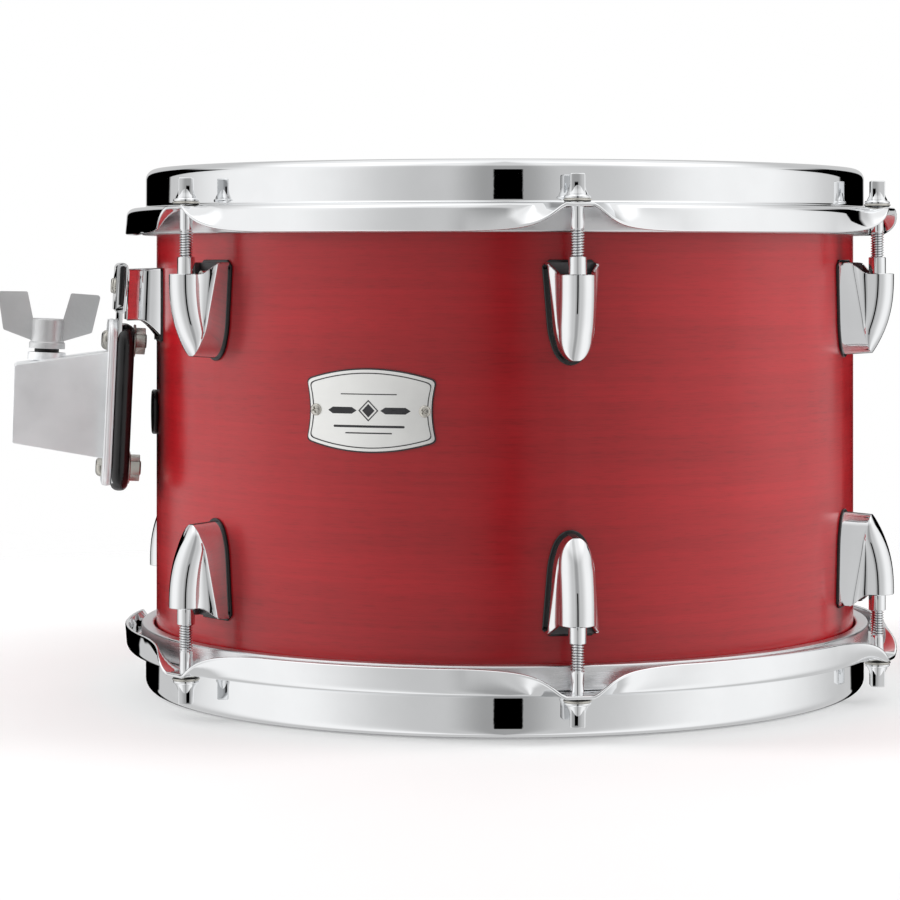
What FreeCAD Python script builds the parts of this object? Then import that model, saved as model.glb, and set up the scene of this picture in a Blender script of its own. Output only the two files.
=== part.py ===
import FreeCAD, Part
import math
import os
import re

import Sketcher

# A 12 by 8 inch rack tom. +Z runs along the drum's axis, with the playing head on top.
# The origin is on the axis, in the plane of the lower rim. Pieces are drawn about the
# middle of the drum, at angle 0, and then turned and lifted into place.

Vector = FreeCAD.Vector
Z_AXIS = Vector(0, 0, 1)
X_AXIS = Vector(1, 0, 0)
Y_AXIS = Vector(0, 1, 0)
CORE = -1  # the geometry number of a sketch's own origin and axes

# Driving dimensions in millimetres and degrees, in the order in which the drum goes together.
SIZES = {
    # shell
    "shell_radius": 152.0,
    "shell_wall": 5.6,
    "shell_depth": 203.2,
    "edge_inset": 1.4,
    "edge_flat": 0.6,
    # heads
    "film_gauge": 0.25,
    "collar_gap": 0.5,
    "collar_ease": 0.05,
    "flesh_gap": 1.0,
    "flesh_width": 5.5,
    "flesh_height": 9.9,
    "flesh_bend": 1.0,
    # hoops
    "rim_rise": 10.4,
    "hoop_gauge": 1.6,
    "hoop_standoff": 4.6,
    "hoop_wall": 17.0,
    "lip_width": 7.4,
    "rim_bend": 4.5,
    "skirt_step": 9.2,
    "skirt_drop": 11.5,
    "skirt_bend": 4.5,
    "ear_reach": 6.4,
    "ear_width": 24.0,
    "ear_bend": 8.0,
    "window_width": 62.0,
    "window_foot_rise": 0.6,
    "window_foot_bend": 6.0,
    "window_shoulder": 6.0,
    "window_rise": 3.0,
    "window_bend": 8.0,
    # tension rods, washers and nuts
    "lug_count": 6,
    "rod_standoff": 14.6,
    "rod_radius": 2.78,
    "rod_core": 2.3,
    "neck_radius": 2.45,
    "neck_length": 11.2,
    "thread_pitch": 1.058,
    "rod_length": 51.2,
    "rod_head": 6.35,
    "rod_head_height": 8.4,
    "rod_head_bend": 0.8,
    "rod_point": 1.5,
    "rod_point_inset": 0.8,
    "rod_collar": 5.2,
    "collar_height": 1.4,
    "collar_edge": 0.6,
    "collar_slope": 0.3,
    "washer_radius": 5.6,
    "washer_gauge": 1.2,
    "ear_hole": 3.1,
    "nut_radius": 3.6,
    "nut_rise": 6.9,
    "nut_length": 22.0,
    "nut_flange": 5.3,
    "nut_flange_height": 3.5,
    "thread_fit": 0.05,
    "washer_fit": 0.12,
    "washer_float": 0.05,
    "nut_fit": 0.1,
    # lugs
    "gasket": 1.0,
    "lug_inset": 34.5,
    "lug_height": 33.1,
    "lug_back_rise": 4.9,
    "lug_width": 23.0,
    "lug_nose": 7.0,
    "lug_brow": 5.0,
    "lug_tip": 13.0,
    "lug_border": 1.2,
    "lug_wall": 3.0,
    "lug_taper_start": 22.0,
    "lug_foot_inset": 1.7,
    "lug_foot_bend": 8.5,
    "lug_corner_bend": 2.0,
    "lug_belly_start": 14.0,
    "lug_belly_bend": 26.0,
    "lug_rod_room": 0.4,
    "lug_tip_room": 2.5,
    "lug_screw": 1.9,
    "lug_screw_reach": 6.5,
    "lug_screw_room": 0.3,
    "screw_drop": 0.6,
    "screw_rise": 10.0,
    "screw_fit": 0.1,
    "screw_washer_gap": 0.4,
    "screw_head": 3.6,
    "screw_head_height": 2.2,
    "screw_head_bend": 0.8,
    # badge and vent
    "badge_width": 53.0,
    "badge_side": 23.4,
    "badge_height": 32.0,
    "badge_waist": 1.7,
    "badge_gauge": 0.8,
    "badge_shoulder": 10.6,
    "badge_waist_bend": 30.0,
    "badge_corner_bend": 2.0,
    "badge_crown_bend": 24.0,
    "badge_level": 14.0,
    "badge_screw_span": 46.0,
    "badge_screw": 1.2,
    "badge_screw_head": 2.4,
    "badge_screw_height": 1.2,
    "badge_screw_bend": 1.0,
    "badge_screw_float": 0.03,
    "badge_screw_point": 1.0,
    "badge_screw_cone": 0.5,
    "vent_level": 7.5,
    "vent_flange": 9.6,
    "vent_proud": 2.2,
    "vent_tube": 6.0,
    "vent_hole": 4.2,
    "vent_lip": 1.5,
    "vent_lip_width": 2.0,
    "vent_bend": 0.9,
    # mounting bracket: posts on the shell, hanger plate, rubber pad and clamp
    "post_face": 13.0,
    "post_top": 68.6,
    "post_height": 29.3,
    "post_chin": 8.1,
    "post_depth": 7.0,
    "post_width": 14.0,
    "post_span": 28.0,
    "post_bend": 2.2,
    "post_hole_room": 0.5,
    "post_hole_depth": 6.0,
    "post_foot_border": 0.8,
    "post_foot_drop": 1.0,
    "post_foot_bend": 2.0,
    "hang_drop": 2.6,
    "bracket_tilt": 2.6,
    "plate_gauge": 1.6,
    "plate_width": 40.0,
    "eye_thickness": 4.8,
    "eye_height": 20.0,
    "eye_wall": 1.4,
    "eye_level": 61.5,
    "eye_rise": 2.9,
    "eye_float": 0.05,
    "eye_slope": 1.6,
    "eye_end_ease": 0.1,
    "hollow_bend": 0.8,
    "grommet_ease": 0.02,
    "grommet_low_gap": 0.5,
    "grommet_top_gap": 0.1,
    "post_screw_sink": 1.0,
    "eye_screw": 2.4,
    "eye_screw_head": 3.3,
    "eye_screw_height": 1.2,
    "eye_screw_bend": 0.9,
    "eye_screw_float": 0.02,
    "eye_screw_reach": 5.5,
    "eye_screw_fit": 0.1,
    "pad_back": 9.0,
    "pad_gauge": 7.4,
    "pad_top": 45.4,
    "pad_length": 70.7,
    "pad_width": 46.0,
    "pad_bend": 9.0,
    "pad_floor": 3.3,
    "pad_slot_fit": 0.1,
    "plate_lift": 0.2,
    "flange_gauge": 3.4,
    "flange_margin": 2.0,
    "flange_rise": 1.6,
    "flange_float": 0.05,
    "bracket_bolt": 3.0,
    "bracket_bolt_fit": 0.2,
    "bolt_head": 4.2,
    "bolt_head_height": 2.6,
    "bolt_head_bend": 2.2,
    "bolt_end": 0.6,
    "bolt_margin": 7.2,
    "bolt_margin_low": 9.0,
    "bolt_nut": 5.0,
    "nut_height": 4.2,
    "nut_washer": 7.0,
    "nut_washer_gauge": 1.0,
    "clamp_reach": 39.0,
    "clamp_width": 36.0,
    "clamp_top": 33.8,
    "clamp_bottom": -12.0,
    "clamp_top_fall": 7.3,
    "clamp_bottom_rise": 5.6,
    "clamp_nose": 0.5,
    "clamp_low_bend": 1.0,
    "clamp_top_bend": 1.5,
    "socket_level": 8.0,
    "socket_width": 20.4,
    "socket_depth": 33.0,
    "wing_reach": 25.6,
    "boss_radius": 8.0,
    "boss_rise": 2.9,
    "wing_thread": 4.0,
    "shoe_radius": 7.4,
    "shoe_height": 5.0,
    "shoe_travel": 4.0,
    "shoe_rise": 3.7,
    "shoe_room": 0.2,
    "slide_fit": 0.1,
    "hub_washer": 5.2,
    "hub_washer_gauge": 1.5,
    "hub_collar": 7.6,
    "hub_radius": 7.0,
    "hub_height": 12.8,
    "hub_bend": 1.0,
    "hub_step": 2.4,
    "hub_step_end": 3.0,
    "hub_washer_fit": 0.3,
    "wing_span": 43.6,
    "wing_height": 24.0,
    "wing_gauge": 4.0,
    "wing_root_rise": 3.2,
    "wing_root_slope": 0.2,
    "wing_low_reach": 18.748,
    "wing_low_rise": 7.4,
    "wing_tip_fall": 0.4,
    "wing_tip_width": 12.6,
    "wing_bend": 1.2,
    "wing_inner_bend": 0.8,
    "wing_root_drop": 0.5,
    "wing_root": 4.2,
    "wing_neck": 6.3,
    # how far a cutter runs past what it cuts, and how far a root sinks in before it is trimmed
    "cutter_ease": 0.2,
    "overrun": 5.0,
    "sunk": 1.0,
}

# Places and sizes worked out from the driving dimensions, measured from mid-depth.
DERIVED = {
    "mid_height": "shell_depth / 2 + rim_rise",
    "edge_level": "shell_depth / 2",
    "rim_level": "edge_level + rim_rise",
    "ear_level": "rim_level - hoop_wall",
    "seat_level": "ear_level - hoop_gauge",
    "skirt_level": "ear_level - skirt_drop",
    "hoop_radius": "shell_radius + hoop_standoff",
    "lip_radius": "hoop_radius - lip_width",
    "skirt_radius": "hoop_radius + skirt_step",
    "ear_radius": "rod_circle + ear_reach",
    "flesh_radius": "shell_radius + flesh_gap",
    "collar_radius": "flesh_radius + collar_gap",
    "film_bend": "flesh_gap + collar_gap + edge_inset - collar_ease",
    "rod_circle": "shell_radius + rod_standoff",
    "head_level": "ear_level + washer_gauge",
    "thread_level": "head_level - neck_length",
    "rod_tip": "head_level - rod_length",
    "lug_top": "edge_level - lug_inset",
    "lug_bottom": "lug_top - lug_height",
    "lug_back": "lug_top + lug_back_rise",
    "lug_front": "rod_circle + lug_nose",
    "lug_seat": "shell_radius + gasket",
    "nut_top": "lug_top + nut_rise",
    "nut_bottom": "nut_top - nut_length",
    "nut_step": "lug_top - lug_wall",
    "screw_upper": "lug_top - screw_drop",
    "screw_lower": "lug_bottom + screw_rise",
    "post_screw_level": "post_low + post_height / 2",
    "screw_start": "shell_radius - shell_wall - screw_washer_gap",
    "screw_end": "lug_seat + lug_screw_reach",
    "hang_x": "shell_radius + post_face",
    "post_low": "post_top - post_height",
    "hang_level": "post_top - hang_drop",
    "eye_x": "hang_x + eye_thickness / 2",
    "eye_top": "post_top + eye_rise",
    "eye_low": "eye_top - eye_height",
    "pad_x": "shell_radius + pad_back",
    "flange_x": "pad_x + pad_gauge",
    "clamp_x": "flange_x + flange_gauge",
    "clamp_end": "clamp_x + clamp_reach",
    "plate_x": "eye_x - plate_gauge / 2",
    "pad_low": "pad_top - pad_length",
    "bolt_upper": "pad_top - bolt_margin",
    "bolt_lower": "pad_low + bolt_margin_low",
    "wing_x": "clamp_x + wing_reach",
    "boss_level": "clamp_top - clamp_top_fall * wing_reach / clamp_reach + boss_rise",
    "hub_level": "boss_level + hub_washer_gauge + slide_fit",
    "shoe_top": "socket_level + socket_width / 2 + shoe_rise",
    "shoe_low": "shoe_top - shoe_height",
}

BRACKET_ANGLE = 180  # the bracket and the vent, halfway between two lugs
BADGE_ANGLE = 240
FIRST_LUG_ANGLE = 30

doc = FreeCAD.newDocument("tom_tom_drum")
sheet = doc.addObject("Spreadsheet::Sheet", "sizes")
nodes = []  # the pieces that are written to files


def fill_sheet():
    """Name each driving dimension in column A and give its cell in column B the same alias."""
    for row, (name, number) in enumerate(SIZES.items(), start=1):
        sheet.set(f"A{row}", name)
        sheet.set(f"B{row}", str(number))
        sheet.setAlias(f"B{row}", name)
    doc.recompute()


def formula(text):
    """Spell a formula out in cells of the sheet."""

    def spell(word):
        name = word.group(0)
        if name in DERIVED:
            return f"({formula(DERIVED[name])})"
        return f"sizes.{name}" if name in SIZES else name

    return re.sub(r"[a-z_]+", spell, str(text))


def value(text):
    """The number that a formula gives now."""
    return float(sheet.evalExpression(formula(text)))


# ---------------------------------------------------------------- sketches and features


def new_body(name):
    body = doc.addObject("PartDesign::Body", name)
    body.Label = name
    return body


def origin_plane(body, role):
    return next(item for item in body.Origin.OriginFeatures if item.Role == role)


def new_sketch(body, role, offset=None):
    """A sketch on one of the body's origin planes, moved along its normal by offset."""
    sketch = body.newObject("Sketcher::SketchObject", f"{body.Name}_sketch")
    sketch.AttachmentSupport = [(origin_plane(body, role), "")]
    sketch.MapMode = "FlatFace"
    if offset is not None:
        sketch.setExpression("AttachmentOffset.Base.z", formula(offset))
    return sketch


def bind(sketch, constraint, text):
    index = sketch.addConstraint(constraint)
    sketch.setExpression(f"Constraints[{index}]", formula(text))


def pin_point(sketch, geometry, position, x, y):
    """Hold a point of the sketch at the formulas x and y."""
    bind(sketch, Sketcher.Constraint("DistanceX", CORE, 1, geometry, position, value(x)), x)
    bind(sketch, Sketcher.Constraint("DistanceY", CORE, 1, geometry, position, value(y)), y)


def add_circle(sketch, x, y, radius):
    centre = Vector(value(x), value(y), 0)
    circle = sketch.addGeometry(Part.Circle(centre, Z_AXIS, value(radius)), False)
    pin_point(sketch, circle, 3, x, y)
    bind(sketch, Sketcher.Constraint("Radius", circle, value(radius)), radius)


def rounding(before, corner, after, radius):
    """Where an arc that rounds a corner starts and ends, its centre, and whether it turns left."""
    back = (before - corner).normalize()
    ahead = (after - corner).normalize()
    half = back.getAngle(ahead) / 2
    entry = corner + back * (radius / math.tan(half))
    leave = corner + ahead * (radius / math.tan(half))
    centre = corner + (back + ahead).normalize() * (radius / math.sin(half))
    return entry, leave, centre, back.cross(ahead).z < 0


def arc_between(centre, first, last):
    """An arc from first to last, counterclockwise about centre."""
    start = math.atan2(first.y - centre.y, first.x - centre.x)
    end = math.atan2(last.y - centre.y, last.x - centre.x)
    circle = Part.Circle(centre, Z_AXIS, (first - centre).Length)
    return Part.ArcOfCircle(circle, start, end)


def add_outline(sketch, corners):
    """Close an outline through corners, each (x, y) or (x, y, radius of its rounding)."""
    points = [Vector(value(corner[0]), value(corner[1]), 0) for corner in corners]
    count = len(corners)
    ends = []  # per corner: where the edge before it stops, where the next one starts, its arc
    for i, corner in enumerate(corners):
        if len(corner) == 2:
            ends.append((points[i], points[i], None))
            continue
        entry, leave, centre, left = rounding(
            points[i - 1], points[i], points[(i + 1) % count], value(corner[2])
        )
        arc = arc_between(centre, entry, leave) if left else arc_between(centre, leave, entry)
        ends.append((entry, leave, (arc, left)))
    lines = []
    for i in range(count):
        line = Part.LineSegment(ends[i][1], ends[(i + 1) % count][0])
        lines.append(sketch.addGeometry(line, False))
    for i, corner in enumerate(corners):
        before, after = lines[i - 1], lines[i]
        if ends[i][2] is None:
            sketch.addConstraint(Sketcher.Constraint("Coincident", before, 2, after, 1))
            pin_point(sketch, after, 1, corner[0], corner[1])
            continue
        arc, left = ends[i][2]
        entry_end, leave_end = (1, 2) if left else (2, 1)
        arc = sketch.addGeometry(arc, False)
        apex = sketch.addGeometry(Part.Point(points[i]), True)
        sketch.addConstraint(Sketcher.Constraint("Tangent", before, 2, arc, entry_end))
        sketch.addConstraint(Sketcher.Constraint("Tangent", arc, leave_end, after, 1))
        sketch.addConstraint(Sketcher.Constraint("PointOnObject", apex, 1, before))
        sketch.addConstraint(Sketcher.Constraint("PointOnObject", apex, 1, after))
        pin_point(sketch, apex, 1, corner[0], corner[1])
        bind(sketch, Sketcher.Constraint("Radius", arc, value(corner[2])), corner[2])


def add_feature(body, kind, sketch, **formulas):
    feature = body.newObject(f"PartDesign::{kind}", f"{body.Name}_{kind.lower()}")
    feature.Profile = sketch
    for name, text in formulas.items():
        feature.setExpression(name, formula(text))
    sketch.Visibility = False
    return feature


def spin(body, corners, kind="Revolution", axis="V_Axis", plane="XZ_Plane"):
    """Turn an outline right round an axis of its sketch, to add or to cut away."""
    sketch = new_sketch(body, plane)
    add_outline(sketch, corners)
    feature = add_feature(body, kind, sketch)
    feature.ReferenceAxis = (sketch, [axis])
    feature.Angle = 360
    return feature


def spin_about(body, corners, axis_x, kind="Groove"):
    """Turn an outline right round an upright line at axis_x."""
    sketch = new_sketch(body, "XZ_Plane")
    add_outline(sketch, corners)
    foot = Vector(value(axis_x), 0, 0)
    head = Vector(value(axis_x), value("overrun"), 0)
    line = sketch.addGeometry(Part.LineSegment(foot, head), True)
    pin_point(sketch, line, 1, axis_x, "0")
    pin_point(sketch, line, 2, axis_x, "overrun")
    feature = add_feature(body, kind, sketch)
    feature.ReferenceAxis = (sketch, ["Axis0"])
    feature.Angle = 360
    return feature


def extrude(body, plane, shapes, length, kind="Pad", offset=None, both=False, back=False):
    """Add or cut away a prism. shapes holds outlines, and circles as ("circle", x, y, radius)."""
    sketch = new_sketch(body, plane, offset)
    for shape in shapes:
        if shape[0] == "circle":
            add_circle(sketch, *shape[1:])
        else:
            add_outline(sketch, shape)
    feature = add_feature(body, kind, sketch, Length=length)
    feature.SideType = "Symmetric" if both else "One side"
    feature.Reversed = back
    return feature


def mirror_across(body, features, role="XZ_Plane"):
    mirrored = body.newObject("PartDesign::Mirrored", f"{body.Name}_mirrored")
    mirrored.Originals = features
    mirrored.MirrorPlane = (origin_plane(body, role), [""])
    body.Tip = mirrored


def ring_pattern(body, features, count):
    pattern = body.newObject("PartDesign::PolarPattern", f"{body.Name}_pattern")
    pattern.Originals = features
    pattern.Axis = (origin_plane(body, "Z_Axis"), [""])
    pattern.Angle = 360
    pattern.setExpression("Occurrences", formula(count))
    body.Tip = pattern


def rectangle(x_low, x_high, y_low, y_high, radius=None):
    corners = [(x_low, y_low), (x_high, y_low), (x_high, y_high), (x_low, y_high)]
    if radius is None:
        return corners
    return [(*corner, radius) for corner in corners]


def hexagon(x, y, flats, across="y"):
    """The corners of a hexagon about (x, y); its flats face along across."""
    corners = []
    for i in range(6):
        angle = 60 * i + (0 if across == "y" else 30)
        reach = f"({flats}) / 2 / cos(30)"
        corners.append((f"{x} + {reach} * cos({angle})", f"{y} + {reach} * sin({angle})"))
    return corners


# ---------------------------------------------------------------- placing and naming


def place(piece, angle=0, flipped=False, level="0", tilted=False):
    """Turn a piece about the drum's axis, upside down if flipped, and lift it to its level."""
    turn = FreeCAD.Rotation(Z_AXIS, angle)
    if flipped:
        turn = turn * FreeCAD.Rotation(X_AXIS, 180)
    height = f"mid_height + ({level})"
    if tilted:
        turn = turn * FreeCAD.Rotation(Y_AXIS, -value("bracket_tilt"))
        lean, rise = "sin(bracket_tilt)", "cos(bracket_tilt)"
        outward = f"(hang_x * (1 - {rise}) + hang_level * {lean})"
        height = f"mid_height + hang_level * (1 - {rise}) - hang_x * {lean}"
        piece.Placement = FreeCAD.Placement(Vector(), turn)
        piece.setExpression("Placement.Base.x", formula(f"{outward} * cos({angle})"))
        piece.setExpression("Placement.Base.y", formula(f"{outward} * sin({angle})"))
    else:
        piece.Placement = FreeCAD.Placement(Vector(), turn)
    piece.setExpression("Placement.Base.z", formula(height))
    return piece


def group(name, pieces):
    compound = doc.addObject("Part::Compound", name)
    compound.Links = pieces
    compound.Label = name
    return compound


def copy_of(pattern, name, **where):
    return place(group(name, [pattern]), **where)


def keep(piece):
    """Count a piece as one of the drum's nodes."""
    nodes.append(piece)
    return piece


def lug_angles():
    step = 360 / value("lug_count")
    return [FIRST_LUG_ANGLE + step * i for i in range(int(value("lug_count")))]


# ---------------------------------------------------------------- shell, heads and hoops


def radial_hole(name, radius, angle, level, side="0"):
    """A rod-shaped cutter through one side of the shell."""
    cutter = doc.addObject("Part::Cylinder", name)
    cutter.setExpression("Radius", formula(radius))
    cutter.setExpression("Height", formula("shell_wall * 4"))
    turn = FreeCAD.Rotation(Z_AXIS, angle) * FreeCAD.Rotation(Y_AXIS, 90)
    cutter.Placement = FreeCAD.Placement(Vector(), turn)
    start = "(shell_radius - shell_wall * 3)"
    along, across = f"cos({angle})", f"sin({angle})"
    cutter.setExpression("Placement.Base.x", formula(f"{start} * {along} - ({side}) * {across}"))
    cutter.setExpression("Placement.Base.y", formula(f"{start} * {across} + ({side}) * {along}"))
    cutter.setExpression("Placement.Base.z", formula(f"mid_height + ({level})"))
    return cutter


def badge_screw_angles():
    half = math.degrees(value("badge_screw_span") / 2 / value("shell_radius"))
    return [BADGE_ANGLE - half, BADGE_ANGLE + half]


def screw_levels():
    return ["screw_lower", "screw_upper"]


def make_shell():
    """A plywood tube with bearing edges: rounded outside, flat on top, 45 degrees inside."""
    body = new_body("shell_tube")
    inner = "shell_radius - shell_wall"
    crest_out = "shell_radius - edge_inset"
    crest_in = "shell_radius - edge_inset - edge_flat"
    bevel = "shell_wall - edge_inset - edge_flat"
    spin(body, [
        (inner, f"0 - edge_level + {bevel}"),
        (crest_in, "0 - edge_level"),
        (crest_out, "0 - edge_level"),
        ("shell_radius", "edge_inset - edge_level"),
        ("shell_radius", "edge_level - edge_inset"),
        (crest_out, "edge_level"),
        (crest_in, "edge_level"),
        (inner, f"edge_level - ({bevel})"),
    ])
    place(body)
    cutters = []
    for angle in lug_angles():
        for level in screw_levels():
            for sign in ("", "0 - "):
                cutters.append(radial_hole("lug_hole", "lug_screw + screw_fit", angle, sign + level))
    for sign in ("", "0 - "):
        side = f"{sign}post_span / 2"
        cutters.append(
            radial_hole("post_hole", "lug_screw + screw_fit", BRACKET_ANGLE, "post_screw_level", side)
        )
    for angle in badge_screw_angles():
        cutters.append(radial_hole("badge_hole", "badge_screw + screw_fit", angle, "badge_level"))
    cutters.append(radial_hole("vent_bore", "vent_tube + screw_fit", BRACKET_ANGLE, "vent_level"))
    shell = doc.addObject("Part::Cut", "shell")
    shell.Base = body
    shell.Tool = group("shell_holes", cutters)
    shell.Label = "shell"
    keep(shell)


def make_heads():
    """Each head is a film drawn over the bearing edge, with its collar in a flesh hoop."""
    film = new_body("film_pattern")
    collar = "collar_radius"
    skin = "film_gauge"
    crown = "edge_level"
    spin(film, [
        ("0", crown),
        (collar, crown, "film_bend"),
        (collar, "seat_level"),
        (f"{collar} + {skin}", "seat_level"),
        (f"{collar} + {skin}", f"{crown} + {skin}", f"film_bend + {skin}"),
        ("0", f"{crown} + {skin}"),
    ])
    ring = new_body("flesh_hoop_pattern")
    spin(ring, rectangle("flesh_radius", "flesh_radius + flesh_width",
                         "seat_level - flesh_height", "seat_level", "flesh_bend"))
    for side, flipped in (("batter", False), ("resonant", True)):
        keep(copy_of(film, f"{side}_head", flipped=flipped))
        keep(copy_of(ring, f"{side}_flesh_hoop", flipped=flipped))


def make_hoops():
    """A rolled hoop: lip turned in at the rim, wall, step, skirt, and an ear over each lug."""
    hoop = new_body("hoop_pattern")
    wall_in = "hoop_radius - hoop_gauge"
    skirt_in = "skirt_radius - hoop_gauge"
    inner_rim = "rim_bend - hoop_gauge"
    inner_skirt = "skirt_bend - hoop_gauge"
    spin(hoop, [
        ("lip_radius", "rim_level - hoop_gauge"),
        (wall_in, "rim_level - hoop_gauge", inner_rim),
        (wall_in, "seat_level"),
        (skirt_in, "seat_level", inner_skirt),
        (skirt_in, "skirt_level"),
        ("skirt_radius", "skirt_level"),
        ("skirt_radius", "ear_level", "skirt_bend"),
        ("hoop_radius", "ear_level"),
        ("hoop_radius", "rim_level", "rim_bend"),
        ("lip_radius", "rim_level"),
    ])
    root = "ear_width / 2"
    foot = "window_width / 2"
    low = "skirt_level - sunk"
    foot_level = "skirt_level + window_foot_rise"
    shoulder_level = "skirt_level + window_rise"
    window = extrude(hoop, "YZ_Plane", [[
        (f"0 - {foot}", low),
        (foot, low),
        (f"{foot} - sunk", foot_level, "window_foot_bend"),
        (f"{root} + window_shoulder", shoulder_level, "window_bend"),
        (root, "seat_level"),
        (f"0 - {root}", "seat_level"),
        (f"0 - {root} - window_shoulder", shoulder_level, "window_bend"),
        (f"sunk - {foot}", foot_level, "window_foot_bend"),
    ]], "skirt_radius + overrun", kind="Pocket", back=True)
    ear = extrude(hoop, "XY_Plane", [[
        ("hoop_radius + sunk", f"0 - {root}"),
        ("ear_radius", f"0 - {root}", "ear_bend"),
        ("ear_radius", root, "ear_bend"),
        ("hoop_radius + sunk", root),
    ]], "hoop_gauge", offset="seat_level")
    hole = extrude(hoop, "XY_Plane", [("circle", "rod_circle", "0", "ear_hole")],
                   "hoop_gauge + overrun", kind="Pocket", offset="seat_level", both=True)
    doc.recompute()
    ring_pattern(hoop, [window, ear, hole], "lug_count")
    keep(copy_of(hoop, "batter_hoop", angle=FIRST_LUG_ANGLE))
    keep(copy_of(hoop, "resonant_hoop", angle=FIRST_LUG_ANGLE, flipped=True))


# ---------------------------------------------------------------- lugs and tension rods


def lug_outline(grow="0"):
    """The casing's outline where it meets the shell, as (y, z) corners."""
    half = f"lug_width / 2 + {grow}"
    foot = f"lug_width / 2 - lug_foot_inset + {grow}"
    low = f"lug_bottom - {grow}"
    top = f"lug_back + {grow}"
    return [
        (f"0 - ({half})", top, "lug_corner_bend"),
        (f"0 - ({half})", "lug_bottom + lug_taper_start"),
        (f"0 - ({foot})", low, "lug_foot_bend"),
        (foot, low, "lug_foot_bend"),
        (half, "lug_bottom + lug_taper_start"),
        (half, top, "lug_corner_bend"),
    ]


def nose_section(sketch, brow_x, brow_y, nose_x, nose_y):
    """A level cut through the casing: flat sides, a bevel from each brow, and a round nose."""
    back = "lug_seat - overrun"
    add_outline(sketch, [
        (back, f"0 - ({brow_y})"),
        (brow_x, f"0 - ({brow_y})"),
        (nose_x, f"0 - ({nose_y})", f"{nose_y} * 0.995"),
        (nose_x, nose_y, f"{nose_y} * 0.995"),
        (brow_x, brow_y),
        (back, brow_y),
    ])


def make_lug_pattern():
    """A cast bullet lug, hollow for its swivel nut, with two screw holes from the shell side."""
    lug = new_body("lug_pattern")
    top = new_sketch(lug, "XY_Plane", "lug_back + sunk")
    nose_section(top, "lug_seat + lug_brow", "lug_width / 2", "lug_front", "lug_nose")
    low = new_sketch(lug, "XY_Plane", "lug_bottom")
    nose_section(low, "lug_seat + lug_tip", "lug_nose + sunk", "lug_front", "lug_nose - sunk")
    loft = add_feature(lug, "AdditiveLoft", top)
    loft.Sections = [low]
    loft.Ruled = True
    fall = "lug_back_rise / (lug_front - lug_seat)"
    extrude(lug, "XZ_Plane", [[
        ("lug_seat - 2 * overrun", f"lug_back + 2 * overrun * {fall}"),
        ("lug_front + 2 * overrun", f"lug_top - 2 * overrun * {fall}"),
        ("lug_front + 2 * overrun", "lug_back + 4 * overrun"),
        ("lug_seat - 2 * overrun", "lug_back + 4 * overrun"),
    ]], "lug_width * 3", kind="Pocket", both=True)
    belly = "lug_front + cutter_ease"
    extrude(lug, "XZ_Plane", [[
        (belly, "lug_bottom + lug_height"),
        (belly, "lug_bottom + lug_belly_start", "lug_belly_bend"),
        ("lug_seat + lug_tip - sunk", "lug_bottom - 2 * sunk"),
        ("lug_front + overrun", "lug_bottom - 2 * sunk"),
        ("lug_front + overrun", "lug_bottom + lug_height"),
    ]], "lug_width * 3", kind="Pocket", both=True)
    half = "lug_width / 2 + cutter_ease"
    foot = "lug_width / 2 - lug_foot_inset"
    shoulder = "lug_bottom + lug_taper_start"
    extrude(lug, "YZ_Plane", [[
        (f"0 - ({half})", shoulder),
        (f"0 - ({foot})", "lug_bottom", "lug_foot_bend"),
        (foot, "lug_bottom", "lug_foot_bend"),
        (half, shoulder),
        ("lug_width", shoulder),
        ("lug_width", "lug_bottom - overrun"),
        ("0 - lug_width", "lug_bottom - overrun"),
        ("0 - lug_width", shoulder),
    ]], "lug_front * 3", kind="Pocket", both=True)
    spin(lug, rectangle("0", "lug_seat", "lug_bottom - overrun", "lug_back + overrun"), kind="Groove")
    bore = "rod_circle + nut_radius + nut_fit"
    chamber = "rod_circle + nut_flange + nut_fit"
    rod_way = "rod_circle + rod_radius + lug_rod_room"
    spin_about(lug, [
        ("rod_circle", "lug_back + overrun"),
        (bore, "lug_back + overrun"),
        (bore, "nut_step"),
        (chamber, "nut_step"),
        (chamber, "nut_bottom - sunk"),
        (rod_way, "nut_bottom - sunk"),
        (rod_way, "rod_tip - lug_tip_room"),
        ("rod_circle", "rod_tip - lug_tip_room"),
    ], "rod_circle")
    extrude(lug, "YZ_Plane", [("circle", "0", level, "lug_screw + screw_fit / 2")
                              for level in screw_levels()],
            "screw_end + lug_screw_room", kind="Pocket", back=True)
    return lug


def make_curved_skin(name, shapes, inner, outer):
    """A thin piece that lies on the shell: a prism trimmed by two cylinders about the axis."""
    body = new_body(name)
    extrude(body, "YZ_Plane", shapes, "shell_radius + 2 * overrun")
    far = "shell_radius + 8 * overrun"
    level = "shell_depth"
    spin(body, rectangle("0", inner, f"0 - {level}", level), kind="Groove")
    spin(body, rectangle(outer, far, f"0 - {level}", level), kind="Groove")
    return body


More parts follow.
